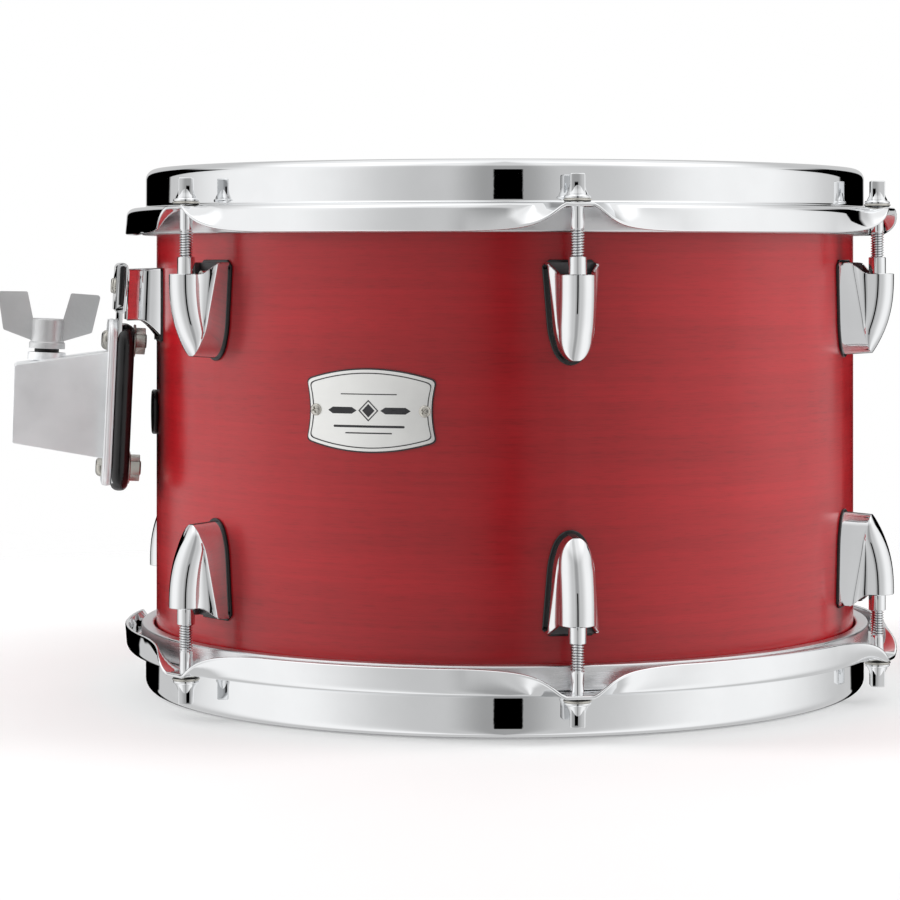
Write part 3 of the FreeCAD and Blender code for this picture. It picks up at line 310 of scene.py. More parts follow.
def make_groups():
    """The effects that several finishes share."""
    # Cloudy: soft patches between two values.
    bench, given, result = new_group(
        "Cloudy",
        [
            ("Vector", "Vector", None),
            ("Scale", "Float", 40.0),
            ("Detail", "Float", 3.0),
            ("Low", "Float", 0.0),
            ("High", "Float", 1.0),
        ],
        [("Value", "Float")],
    )
    noise = bench.add(
        "ShaderNodeTexNoise",
        {"Vector": given["Vector"], "Scale": given["Scale"], "Detail": given["Detail"]},
    )
    value = bench.remap(noise.outputs["Fac"], 0.32, 0.68, given["Low"], given["High"])
    bench.tree.links.new(value, result["Value"])

    # Streaks: lines that run level round the drum, fine along Z.
    bench, given, result = new_group(
        "Streaks",
        [
            ("Vector", "Vector", None),
            ("Along", "Float", 8.0),
            ("Across", "Float", 900.0),
            ("Low", "Float", 0.0),
            ("High", "Float", 1.0),
        ],
        [("Value", "Float")],
    )
    stretch = bench.add(
        "ShaderNodeCombineXYZ", {"X": given["Along"], "Y": given["Along"], "Z": given["Across"]}
    )
    stretched = bench.add(
        "ShaderNodeVectorMath", {0: given["Vector"], 1: stretch.outputs[0]}, operation="MULTIPLY"
    )
    noise = bench.add(
        "ShaderNodeTexNoise", {"Vector": stretched.outputs[0], "Scale": 1.0, "Detail": 4.0}
    )
    value = bench.remap(noise.outputs["Fac"], 0.3, 0.7, given["Low"], given["High"])
    bench.tree.links.new(value, result["Value"])

    # Wood: plain maple grain round the shell, with broad figure, fine lines and short pores.
    bench, given, result = new_group(
        "Wood",
        [
            ("Vector", "Vector", None),
            ("Light", "Color", (0.5, 0.3, 0.15, 1.0)),
            ("Dark", "Color", (0.3, 0.15, 0.06, 1.0)),
            ("Lines", "Float", 0.5),
            ("Pores", "Float", 0.5),
        ],
        [("Color", "Color"), ("Height", "Float")],
    )
    figure = bench.group("Streaks", Vector=given["Vector"], Along=5.0, Across=45.0)["Value"]
    lines = bench.group("Streaks", Vector=given["Vector"], Along=11.0, Across=520.0)["Value"]
    pores = bench.group(
        "Streaks", Vector=given["Vector"], Along=150.0, Across=2600.0, Low=-1.2, High=1.0
    )["Value"]
    pores = bench.math("MAXIMUM", pores, 0.0)
    lines = bench.math("MULTIPLY", lines, given["Lines"])
    pores = bench.math("MULTIPLY", pores, given["Pores"])
    broad = bench.math("MULTIPLY", figure, 0.3)
    depth = bench.math("ADD", bench.math("ADD", broad, lines), pores)
    depth = bench.add("ShaderNodeClamp", {"Value": depth}).outputs[0]
    bench.tree.links.new(bench.mix(depth, given["Light"], given["Dark"]), result["Color"])
    bench.tree.links.new(bench.math("SUBTRACT", 1.0, depth), result["Height"])

    # Scratches: two crossing families of hairlines, as wiping leaves them.
    bench, given, result = new_group(
        "Scratches",
        [("Vector", "Vector", None), ("Scale", "Float", 60.0), ("Amount", "Float", 0.5)],
        [("Mask", "Float")],
    )
    masks = []
    for turn in (0.5, -0.7):
        mapping = bench.add(
            "ShaderNodeMapping",
            {"Vector": given["Vector"], "Rotation": (turn, 0.4, turn), "Scale": (1.0, 34.0, 3.0)},
        )
        noise = bench.add(
            "ShaderNodeTexNoise", {"Vector": mapping.outputs[0], "Scale": given["Scale"], "Detail": 2.0}
        )
        masks.append(bench.remap(noise.outputs["Fac"], 0.6, 0.78))
    mask = bench.math("MULTIPLY", bench.math("MAXIMUM", *masks), given["Amount"])
    bench.tree.links.new(mask, result["Mask"])

    # Band: one between two limits of a value, with soft edges.
    bench, given, result = new_group(
        "Band",
        [("Value", "Float", 0.0), ("From", "Float", 0.0), ("To", "Float", 1.0), ("Soft", "Float", 0.1)],
        [("Mask", "Float")],
    )
    rise = bench.remap(
        given["Value"], bench.math("SUBTRACT", given["From"], given["Soft"]), given["From"]
    )
    fall = bench.remap(
        given["Value"], given["To"], bench.math("ADD", given["To"], given["Soft"]), 1.0, 0.0
    )
    bench.tree.links.new(bench.math("MULTIPLY", rise, fall), result["Mask"])


def opaque(rgb):
    """A colour with full alpha."""
    return (rgb[0], rgb[1], rgb[2], 1.0)


def shade(rgb, factor):
    """A colour made lighter or darker."""
    return opaque([min(1.0, part * factor) for part in rgb])


def new_material(name):
    """A material with an empty Principled shader: its bench, its shader's inputs and object coordinates."""
    material = bpy.data.materials.new(FINISH + name)
    material.use_nodes = True
    tree = material.node_tree
    bench = Bench(tree)
    shader = tree.nodes["Principled BSDF"]
    place = bench.add("ShaderNodeTexCoord").outputs["Object"]
    return bench, shader.inputs, place


def bump(bench, surface, height, strength, distance):
    """Joins a height to the shader's normal."""
    node = bench.add("ShaderNodeBump", {"Height": height, "Strength": strength, "Distance": distance})
    bench.tree.links.new(node.outputs[0], surface["Normal"])


def metal(
    name, rgb, rough_low, rough_high, tint=0.94, scratches=0.3, grain=0.0, relief=0.02, metallic=1.0
):
    """A plated or bare metal, with cloudy polish, hairline scratches and, if asked for, level brush lines."""
    bench, surface, place = new_material(name)
    surface["Metallic"].default_value = metallic
    cloud = bench.group("Cloudy", Vector=place, Scale=55.0, Detail=4.0)["Value"]
    marks = bench.group("Scratches", Vector=place, Scale=90.0, Amount=scratches)["Mask"]
    tone = bench.mix(cloud, shade(rgb, tint), opaque(rgb))
    bench.tree.links.new(tone, surface["Base Color"])
    rough = bench.math(
        "ADD", bench.remap(cloud, 0.0, 1.0, rough_low, rough_high), bench.math("MULTIPLY", marks, 0.12)
    )
    height = bench.group("Cloudy", Vector=place, Scale=420.0, Detail=2.0)["Value"]
    if grain:
        brush = bench.group("Streaks", Vector=place, Along=30.0, Across=6000.0)["Value"]
        rough = bench.math("ADD", rough, bench.math("MULTIPLY", brush, grain))
        height = bench.math("ADD", height, brush)
    bench.tree.links.new(rough, surface["Roughness"])
    bump(bench, surface, height, relief, 0.0002)


def moulded(name, rgb, rough_low, rough_high, relief=0.15, grain_scale=1600.0, shine=0.3):
    """Moulded rubber or nylon, with a fine pebbled skin."""
    bench, surface, place = new_material(name)
    cloud = bench.group("Cloudy", Vector=place, Scale=90.0, Detail=4.0)["Value"]
    tone = bench.mix(cloud, opaque(rgb), shade(rgb, 1.7))
    bench.tree.links.new(tone, surface["Base Color"])
    bench.tree.links.new(bench.remap(cloud, 0.0, 1.0, rough_low, rough_high), surface["Roughness"])
    surface["Specular IOR Level"].default_value = shine
    pebbles = bench.group("Cloudy", Vector=place, Scale=grain_scale, Detail=2.0)["Value"]
    bump(bench, surface, pebbles, relief, 0.0001)


def make_finishes(finishes):
    """Every finish of the drum."""
    make_groups()

    bench, surface, place = new_material("stained_maple")
    parts = bench.add("ShaderNodeSeparateXYZ", {0: place}).outputs
    across = bench.math("POWER", parts["X"], 2.0)
    deep = bench.math("POWER", parts["Y"], 2.0)
    radius = bench.math("SQRT", bench.math("ADD", across, deep))
    outside = bench.remap(radius, SHELL_RADIUS - 0.0012, SHELL_RADIUS - 0.0006)
    stained = bench.group(
        "Wood",
        Vector=place,
        Light=opaque(finishes.stain),
        Dark=opaque(finishes.stain_dark),
        Lines=0.26,
        Pores=0.3,
    )
    bare = bench.group(
        "Wood",
        Vector=place,
        Light=opaque(finishes.maple),
        Dark=opaque(finishes.maple_dark),
        Lines=0.4,
        Pores=0.35,
    )
    bench.tree.links.new(bench.mix(outside, bare["Color"], stained["Color"]), surface["Base Color"])
    matt = bench.group("Cloudy", Vector=place, Scale=30.0, Low=0.4, High=0.47)["Value"]
    bench.tree.links.new(matt, surface["Roughness"])
    surface["Specular IOR Level"].default_value = 0.15
    surface["Coat Weight"].default_value = 1.0
    surface["Coat IOR"].default_value = 1.44
    bench.tree.links.new(bench.remap(matt, 0.4, 0.47, 0.2, 0.25), surface["Coat Roughness"])
    bump(bench, surface, stained["Height"], 0.12, 0.00015)

    metal("chrome_plate", finishes.chrome, 0.01, 0.022, tint=0.97, scratches=0.05, relief=0.005)
    metal("satin_casting", finishes.casting, 0.3, 0.36, scratches=0.3, relief=0.06, metallic=0.5)
    # Darker than the clamp's casting: partly a blasted finish, partly painted shade on the wing bolt's
    # blades.
    metal("blasted_casting", finishes.wing, 0.36, 0.44, scratches=0.2, relief=0.15, metallic=0.5)
    # Painted shade for the hollows of the lug casings and the roots of the threads.
    metal("raw_casting", finishes.raw_casting, 0.45, 0.6, tint=0.7, scratches=0.1, relief=0.2)
    metal("zinc_steel", finishes.zinc, 0.2, 0.3, tint=0.85, scratches=0.5, relief=0.04)
    metal("bare_aluminium", finishes.aluminium, 0.24, 0.32, grain=0.1, relief=0.05)
    moulded("black_rubber", finishes.rubber, 0.16, 0.26, relief=0.05, shine=0.5)
    moulded("black_nylon", finishes.nylon, 0.34, 0.44, relief=0.08)
    metal("badge_plate", finishes.badge_face, 0.3, 0.36, grain=0.08, relief=0.03)
    moulded("badge_enamel", finishes.badge_ink, 0.25, 0.32, relief=0.03)

    bench, surface, place = new_material("coated_film")
    cloud = bench.group("Cloudy", Vector=place, Scale=25.0, Detail=5.0)["Value"]
    tone = bench.mix(cloud, shade(finishes.coating, 0.94), opaque(finishes.coating))
    bench.tree.links.new(tone, surface["Base Color"])
    bench.tree.links.new(bench.remap(cloud, 0.0, 1.0, 0.62, 0.74), surface["Roughness"])
    speckle = bench.group("Cloudy", Vector=place, Scale=1900.0, Detail=3.0)["Value"]
    bump(bench, surface, speckle, 0.35, 0.0002)

    bench, surface, place = new_material("clear_film")
    haze = bench.group("Cloudy", Vector=place, Scale=30.0, Detail=3.0)["Value"]
    bench.tree.links.new(
        bench.mix(haze, (0.93, 0.94, 0.94, 1.0), (0.98, 0.98, 0.98, 1.0)), surface["Base Color"]
    )
    bench.tree.links.new(bench.remap(haze, 0.0, 1.0, 0.03, 0.07), surface["Roughness"])
    surface["Transmission Weight"].default_value = 1.0
    surface["IOR"].default_value = 1.1


# ---------------------------------------------------------------- modelling helpers


def arc(centre, radius, start, end, steps):
    """Points of an arc, with angles in degrees, from start to end."""
    angles = [radians(start + (end - start) * count / steps) for count in range(steps + 1)]
    return [(centre[0] + radius * cos(angle), centre[1] + radius * sin(angle)) for angle in angles]


def bow(start, end, rise, steps):
    """Points of a shallow bow from start to end, which stands out to the left by rise."""
    first, last = Vector(start), Vector(end)
    along = last - first
    out = Vector((-along.y, along.x)).normalized()
    shares = [count / steps for count in range(steps + 1)]
    points = [first + along * share + out * rise * 4 * share * (1 - share) for share in shares]
    return [(point.x, point.y) for point in points]


def clean(bm):
    """Merges doubles and turns every face outwards."""
    bmesh.ops.remove_doubles(bm, verts=bm.verts, dist=MERGE)
    bmesh.ops.recalc_face_normals(bm, faces=bm.faces)
    return bm


def turned(profile, steps, closed=False):
    """A shape turned round the Z axis from a profile of (radius, height) points."""
    bm = bmesh.new()
    verts = [bm.verts.new((radius, 0.0, height)) for radius, height in profile]
    ends = verts[1:] + verts[:1] if closed else verts[1:]
    edges = [bm.edges.new(pair) for pair in zip(verts, ends)]
    bmesh.ops.spin(
        bm,
        geom=verts + edges,
        cent=(0, 0, 0),
        axis=(0, 0, 1),
        dvec=(0, 0, 0),
        angle=tau,
        steps=steps,
        use_merge=True,
        use_normal_flip=False,
        use_duplicate=False,
    )
    return clean(bm)


def skinned(rings, cap_start=False, cap_end=False):
    """A skin drawn through rings that all have the same number of points."""
    bm = bmesh.new()
    row = bmesh.ops.create_circle(bm, cap_ends=False, radius=1.0, segments=len(rings[0]))["verts"]
    rows = [row]
    for ring in rings[1:]:
        edges = [bm.edges.get(pair) for pair in zip(row, row[1:] + row[:1])]
        made = bmesh.ops.extrude_edge_only(bm, edges=edges)["geom"]
        fresh = {item for item in made if isinstance(item, bmesh.types.BMVert)}
        row = [next(e.other_vert(v) for e in v.link_edges if e.other_vert(v) in fresh) for v in row]
        rows.append(row)
    for row, ring in zip(rows, rings):
        for vert, place in zip(row, ring):
            vert.co = place
    for wanted, row in ((cap_start, rows[0]), (cap_end, rows[-1])):
        if wanted:
            edges = [bm.edges.get(pair) for pair in zip(row, row[1:] + row[:1])]
            bmesh.ops.edgeloop_fill(bm, edges=edges)
    return clean(bm)


def plate(points, thickness):
    """A flat plate in the X Z plane, from Y 0 outwards to its thickness."""
    bm = bmesh.new()
    row = bmesh.ops.create_circle(bm, cap_ends=True, radius=1.0, segments=len(points))["verts"]
    for vert, (across, up) in zip(row, points):
        vert.co = (across, 0.0, up)
    made = bmesh.ops.extrude_face_region(bm, geom=bm.faces[:])["geom"]
    lifted = [item for item in made if isinstance(item, bmesh.types.BMVert)]
    bmesh.ops.translate(bm, verts=lifted, vec=(0.0, -thickness, 0.0))
    return clean(bm)


def absorb(bm, other, material=None):
    """Adds the other shape to this one, with another material slot if one is given, and frees it."""
    passing = bpy.data.meshes.new("passing")
    other.to_mesh(passing)
    other.free()
    own = len(bm.faces)
    bm.from_mesh(passing)
    bpy.data.meshes.remove(passing)
    if material is not None:
        bm.faces.ensure_lookup_table()
        for face in bm.faces[own:]:
            face.material_index = material
    return bm


def moved(bm, matrix):
    """A copy of a shape, carried by a matrix, with its faces still outwards."""
    copy = bm.copy()
    bmesh.ops.transform(copy, matrix=matrix, verts=copy.verts)
    if matrix.determinant() < 0:
        bmesh.ops.reverse_faces(copy, faces=copy.faces)
    return copy


def round_edges(bm, edges, width):
    """Rounds edges of a new shape."""
    bmesh.ops.bevel(
        bm,
        geom=edges,
        offset=width,
        segments=3,
        profile=0.5,
        affect="EDGES",
        material=-1,
        offset_type="OFFSET",
    )


def lug_place(side, angle):
    """Carries a shape made on the X axis, with levels from the middle, to a lug's place."""
    flip = Matrix.Diagonal((1.0, 1.0, SIDES[side], 1.0))
    return Matrix.Translation((0, 0, MIDDLE)) @ Matrix.Rotation(angle, 4, "Z") @ flip


def finish_piece(name, bm, body, materials, nodes=(), sharp=40.0, bevel=None):
    """Makes the piece's object, gives it its finish, and puts it in place of its CAD nodes."""
    mesh = bpy.data.meshes.new(name)
    bm.to_mesh(mesh)
    bm.free()
    for material in materials:
        mesh.materials.append(bpy.data.materials[FINISH + material])
    mesh.shade_smooth()
    piece = bpy.data.objects.new(name, mesh)
    bpy.context.scene.collection.objects.link(piece)
    if bevel:
        modifier = piece.modifiers.new("Edges", "BEVEL")
        modifier.width = bevel
        modifier.segments = 2
        modifier.limit_method = "ANGLE"
        modifier.angle_limit = radians(sharp)
        modifier.harden_normals = True
    else:
        mesh.set_sharp_from_angle(angle=radians(sharp))
    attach(piece, body)
    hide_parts(*nodes)
    return piece


def drum_piece(name, bm, material, node, sharp=40.0):
    """A piece of one material that stays on the drum and stands for one node."""
    finish_piece(name, bm, DRUM, [material], [node], sharp=sharp)


def refinish(node, material):
    """Gives a CAD node that stays the finish of its material slot."""
    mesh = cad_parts[node].data
    mesh.materials.clear()
    mesh.materials.append(bpy.data.materials[FINISH + material])


def softened(node, name, body, material, width, segments=2, extra=None):
    """A piece made from a CAD node's own mesh, with its edges rounded, and an extra shape if given."""
    bm = bmesh.new()
    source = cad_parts[node]
    bm.from_mesh(source.data)
    bmesh.ops.transform(bm, matrix=source.matrix_world, verts=bm.verts)
    bmesh.ops.remove_doubles(bm, verts=bm.verts, dist=1e-6)
    bmesh.ops.dissolve_limit(bm, angle_limit=radians(1.5), verts=bm.verts, edges=bm.edges)
    bmesh.ops.recalc_face_normals(bm, faces=bm.faces)
    for face in bm.faces:
        face.material_index = 0
    if extra:
        absorb(bm, extra)
    piece = finish_piece(name, bm, body, [material], [node], sharp=30.0, bevel=width)
    piece.modifiers["Edges"].segments = segments
    return piece


# ---------------------------------------------------------------- hoops


def hoop_path(sizes, drop):
    """Middle line of a hoop's steel, as (radius, level, outward x, outward z).

    Drop is 1 along the skirt and 0 at an ear.
    """
    half = sizes.gauge / 2
    wall = sizes.wall_radius - half
    lip = sizes.rim_bend - half
    top = RIM_LEVEL - half
    flange = sizes.ear_level - half
    root = sizes.root_bend + half
    fold = sizes.skirt_bend - half
    support = 0.0004
    path = [(sizes.lip_radius + half, top, 0.0, 1.0), (wall - lip - support, top, 0.0, 1.0)]

    def add_arc(centre, radius, start, end, steps, outward):
        for x, z in arc(centre, radius, start, end, steps):
            path.append((x, z, outward * (x - centre[0]) / radius, outward * (z - centre[1]) / radius))

    add_arc((wall - lip, top - lip), lip, 90, 0, 8, 1)
    path.append((wall, top - lip - support, 1.0, 0.0))
    path.append((wall, flange + root + support, 1.0, 0.0))
    add_arc((wall + root, flange + root), root, 180, 270, 5, -1)
    hang = pi / 2 - atan2(sizes.flare, sizes.ear_level - SKIRT_LEVEL)
    slope = min(hang, asin(max(0.025, min(1.0, drop))))
    hinge = SKIRT_RADIUS - sizes.skirt_bend - sizes.flare * drop
    path.append((wall + root + support, flange, 0.0, 1.0))
    path.append((hinge - support, flange, 0.0, 1.0))
    add_arc((hinge, flange - fold), fold, 90, 90 - degrees(slope), 8, 1)
    x, z = path[-1][:2]
    skirt = sizes.ear_level - SKIRT_LEVEL - sizes.skirt_bend - half
    ear = EAR_REACH - hinge - half
    run = skirt + (ear - skirt) * cos(slope) ** 2
    for share in (support / run, 0.5, 1.0):
        path.append(
            (x + run * share * cos(slope), z - run * share * sin(slope), sin(slope), cos(slope))
        )
    return path


def hoop_section(sizes, drop):
    """Closed section of a hoop's steel as (radius, level) points."""
    half = sizes.gauge / 2
    path = hoop_path(sizes, drop)
    outer = [(x + nx * half, z + nz * half) for x, z, nx, nz in path]
    inner = [(x - nx * half, z - nz * half) for x, z, nx, nz in reversed(path)]
    x, z, nx, nz = path[-1]
    turn = degrees(atan2(nz, nx))
    free_edge = arc((x, z), half, turn, turn - 180, 6)[1:-1]
    x, z, nx, nz = path[0]
    turn = degrees(atan2(-nz, -nx))
    lip_edge = arc((x, z), half, turn, turn - 180, 6)[1:-1]
    return outer + free_edge + inner + lip_edge


def ear_drop(sizes, angle):
    """How far the skirt hangs at an angle round the hoop, from 0 at an ear to 1 between ears."""
    nearest = min(abs((angle - lug + pi) % tau - pi) for lug in LUG_ANGLES)
    along = max(0.0, nearest * SKIRT_RADIUS - sizes.ear_flat)
    return 1 - exp(-((along / sizes.ear_sweep) ** 1.3))


def flesh_hoop(side):
    """The drawn ring that grips a head, under the pressed hoop."""
    low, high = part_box(f"{side}_flesh_hoop")
    outer = high.x
    inner = outer - 0.0055
    edge = 0.001
    corners = [
        ((inner + edge, low.z + edge), 180),
        ((outer - edge, low.z + edge), 270),
        ((outer - edge, high.z - edge), 0),
        ((inner + edge, high.z - edge), 90),
    ]
    profile = []
    for centre, start in corners:
        profile += arc(centre, edge, start, start + 90, 5)
    return turned(profile, 240, closed=True)


class TOM_OT_hoops(bpy.types.Operator):
    """Make the two pressed hoops, whose skirts fold up into six ears, and the heads' flesh hoops"""

    bl_idname = "tom.hoops"
    bl_label = "Hoops"

    def execute(self, context):
        sizes = context.scene.tom_hoops
        for side in SIDES:
            bm = bmesh.new()
            station = bm.verts.layers.int.new("station")
            section = hoop_section(sizes, 1.0)
            verts = []
            for count, (radius, level) in enumerate(section):
                vert = bm.verts.new((radius, 0.0, level))
                vert[station] = count
                verts.append(vert)
            edges = [bm.edges.new(pair) for pair in zip(verts, verts[1:] + verts[:1])]
            bmesh.ops.spin(
                bm,
                geom=verts + edges,
                cent=(0, 0, 0),
                axis=(0, 0, 1),
                dvec=(0, 0, 0),
                angle=tau,
                steps=sizes.steps,
                use_merge=True,
                use_normal_flip=False,
                use_duplicate=False,
            )
            sections = {}
            for vert in bm.verts:
                angle = atan2(vert.co.y, vert.co.x)
                key = round(angle * sizes.steps / tau) % sizes.steps
                if key not in sections:
                    sections[key] = hoop_section(sizes, ear_drop(sizes, key * tau / sizes.steps))
                radius, level = sections[key][vert[station]]
                vert.co = (radius * cos(angle), radius * sin(angle), level)
            bmesh.ops.transform(bm, matrix=lug_place(side, 0.0), verts=bm.verts)
            clean(bm)
            drum_piece(f"{side}_hoop_steel", bm, "chrome_plate", f"{side}_hoop", sharp=60.0)
            node = f"{side}_flesh_hoop"
            drum_piece(f"{node}_drawn", flesh_hoop(side), "bare_aluminium", node)
        return {"FINISHED"}


# ---------------------------------------------------------------- lugs


def lug_widths(sizes, fall):
    """Half widths of the nose, the creases and the seat. Fall is 0 at the mouth and 1 at the foot."""
    nose = sizes.nose_radius
    if fall > 0.6:
        nose *= (1 - ((fall - 0.6) / 0.4) ** 2.3) ** 0.5
    crease = nose + (sizes.crease_width - sizes.nose_radius) * max(0.0, 1 - fall / 0.8)
    return nose, crease, crease + sizes.base_flare * fall * (nose / sizes.nose_radius)


def lug_ring(sizes, fall):
    """One level ring round a casing as (out, along, level) points."""
    nose, crease_half, base_half = lug_widths(sizes, fall)
    facet = crease_half - nose
    front = sizes.nose_reach - (sizes.nose_reach - sizes.tip_reach) * fall**2.6
    crease_out = sizes.crease_reach + (sizes.tip_reach - sizes.crease_reach) * fall
    depth = min(sizes.nose_radius, front - crease_out)
    nose_back = front - depth
    half = [(0.0, base_half * share) for share in (0.0, 0.4, 0.8, 1.0)]
    base, crease, brow = Vector((0.0, base_half)), Vector(
        (crease_out, crease_half)
    ), Vector((nose_back, nose))
    soft = min(sizes.crease_round, (brow - crease).length * 0.4)
    start = crease + (base - crease).normalized() * sizes.crease_round
    end = crease + (brow - crease).normalized() * soft if soft > MERGE else crease
    for share in (0.3, 0.65):
        half.append(tuple(base.lerp(start, share)))
    for share in (0.0, 0.25, 0.5, 0.75, 1.0):
        half.append(tuple(start.lerp(crease, share).lerp(crease.lerp(end, share), share)))
    hollow = min(0.0009, facet * 0.3)
    for share in (0.2, 0.4, 0.6, 0.8):
        dip = hollow * 4 * share * (1 - share)
        point = end.lerp(brow, share)
        half.append((point.x - dip * 0.4, point.y - dip))
    for count in range(11):
        angle = pi / 2 * (1 - count / 10)
        half.append((nose_back + depth * cos(angle), nose * sin(angle)))
    ring = half + [(out, -along) for out, along in reversed(half[1:-1])]
    points = []
    for out, along in ring:
        share = min(1.0, max(0.0, (out - 0.004) / 0.0075))
        share = share * share * (3 - 2 * share)
        mouth = sizes.back_level + (sizes.front_level - sizes.back_level) * share
        foot = sizes.foot_level + 0.0008 * out / sizes.tip_reach
        points.append((out, along, mouth + (foot - mouth) * fall))
    return points


def inset_ring(ring, distance):
    """The same ring moved inwards in plan."""
    flat = [Vector(point[:2]) for point in ring]
    total = len(flat)
    inner = []
    for index, point in enumerate(flat):
        along = (flat[(index + 1) % total] - flat[index - 1]).normalized()
        inner.append((point.x + along.y * distance, point.y - along.x * distance, ring[index][2]))
    return inner


def on_seat(sizes, ring):
    """Carries a ring of (out, along, level) on to the round seat."""
    return [(sqrt(sizes.seat**2 - along**2) + out, along, level) for out, along, level in ring]


def lug_casing(sizes):
    """A casing on the X axis: creased sides, round nose, and a mouth that is open behind the nut."""
    pocket = [inset_ring(lug_ring(sizes, fall), sizes.wall) for fall in (0.4, 0.3, 0.18, 0.08, 0.015)]
    edge = 0.0003
    rim = [inset_ring(lug_ring(sizes, 0.0), sizes.wall - edge), inset_ring(lug_ring(sizes, 0.0), edge)]
    steps = 26
    outside = [
        lug_ring(sizes, 0.008 + 0.9918 * sin(pi / 2 * count / steps)) for count in range(steps + 1)
    ]
    # The pocket takes the second slot, a dark colour painted as shade in the hollow behind the nut.
    inside = skinned([on_seat(sizes, ring) for ring in pocket + rim[:1]], cap_start=True)
    plated = skinned([on_seat(sizes, ring) for ring in rim + outside], cap_end=True)
    return clean(absorb(plated, inside, 1))


def gasket_outline(sizes, border):
    """Outline of a gasket as (along, level) points: the casing's seat, widened by the border."""
    rise = sizes.back_level - sizes.foot_level
    corner = 0.002
    right = [
        (sizes.crease_width - corner, sizes.back_level), (sizes.crease_width, sizes.back_level - corner)
    ]
    for count in range(1, 25):
        fall = sin(pi / 2 * count / 24)
        if fall * rise > corner:
            right.append((lug_widths(sizes, fall)[2], sizes.back_level - rise * fall))
    outline = [(-along, level) for along, level in reversed(right[:-1])] + right
    grown = []
    for index, point in enumerate(outline):
        tangent = Vector(outline[(index + 1) % len(outline)]) - Vector(outline[index - 1])
        tangent.normalize()
        grown.append((point[0] - tangent.y * border, point[1] + tangent.x * border))
    return grown


def lug_gasket(sizes):
    """A rubber gasket under a casing, lying on the shell."""
    soft = 0.00025
    under = -0.003

    def lay(border, radius):
        return [
            (sqrt(radius**2 - along**2), along, level) for along, level in gasket_outline(sizes, border)
        ]

    rings = [
        lay(under, SHELL_RADIUS),
        lay(sizes.border, SHELL_RADIUS),
        lay(sizes.border, sizes.seat - soft),
        lay(sizes.border - soft, sizes.seat),
        lay(under, sizes.seat),
        lay(under, SHELL_RADIUS),
    ]
    return skinned(rings)


def lug_nut(sizes):
    """A swivel nut, standing in the casing's mouth."""
    top = sizes.nut_level
    bottom = top - 0.022
    edge = 0.0004
    bore = sizes.crest + 0.00008
    profile = [
        (bore, bottom),
        (0.0053, bottom),
        (0.0053, bottom + 0.0018),
        (sizes.nut, bottom + 0.0022),
        (sizes.nut, top - edge),
        (sizes.nut - edge * 0.3, top - edge * 0.3),
        (sizes.nut - edge, top),
        (bore + edge, top),
        (bore, top - edge),
    ]
    return turned(profile, 40, closed=True)


class TOM_OT_lugs(bpy.types.Operator):
    """Make the twelve lug casings, their gaskets and their swivel nuts"""

    bl_idname = "tom.lugs"
    bl_label = "Lugs"

    def execute(self, context):
        sizes = context.scene.tom_lugs
        casing = lug_casing(sizes)
        gasket = lug_gasket(sizes)
        nut = lug_nut(context.scene.tom_rods)
        bmesh.ops.translate(nut, verts=nut.verts, vec=(ROD_CIRCLE, 0, 0))
        gaskets, nuts = bmesh.new(), bmesh.new()
        for side in SIDES:
            for count, angle in enumerate(LUG_ANGLES, 1):
                place = lug_place(side, angle)
                name = f"lug_casing_{side}_{count}"
                # The casing's second slot darkens its pocket as painted shade.
                finish_piece(
                    f"{name}_cast",
                    moved(casing, place),
                    DRUM,
                    ["chrome_plate", "raw_casting"],
                    [name],
                    sharp=40.0,
                )
                absorb(gaskets, moved(gasket, place))
                absorb(nuts, moved(nut, place))
        drum_piece("lug_gaskets_moulded", gaskets, "black_rubber", "lug_gaskets")
        drum_piece("lug_nuts_turned", nuts, "chrome_plate", "lug_nuts", sharp=30.0)
        for bm in (casing, gasket, nut):
            bm.free()
        return {"FINISHED"}


# ---------------------------------------------------------------- tension rods


def thread(core, crest, pitch, low, high, steps=18):
    """A right-handed thread round the Z axis, closed at both ends."""
    turns = int((high - low) / pitch)
    section = [(core, 0.0), (crest, 0.36), (crest, 0.5), (core, 0.86), (core, 1.0)]
    bm = bmesh.new()
    verts = [bm.verts.new((radius, 0.0, low + pitch * share)) for radius, share in section]
    edges = [bm.edges.new(pair) for pair in zip(verts, verts[1:])]
    bmesh.ops.spin(
        bm,
        geom=verts + edges,
        cent=(0, 0, 0),
        axis=(0, 0, 1),
        dvec=(0, 0, pitch / steps),
        angle=tau * turns,
        steps=steps * turns,
        use_merge=False,
        use_normal_flip=False,
        use_duplicate=False,
    )
    bmesh.ops.remove_doubles(bm, verts=bm.verts, dist=1e-6)
    bmesh.ops.holes_fill(bm, edges=[edge for edge in bm.edges if edge.is_boundary], sides=0)
    # Faces at the roots of the thread take the second slot: painted shade between the ridges.
    for face in bm.faces:
        if face.calc_center_median().xy.length < core + (crest - core) * 0.2:
            face.material_index = 1
    return clean(bm)


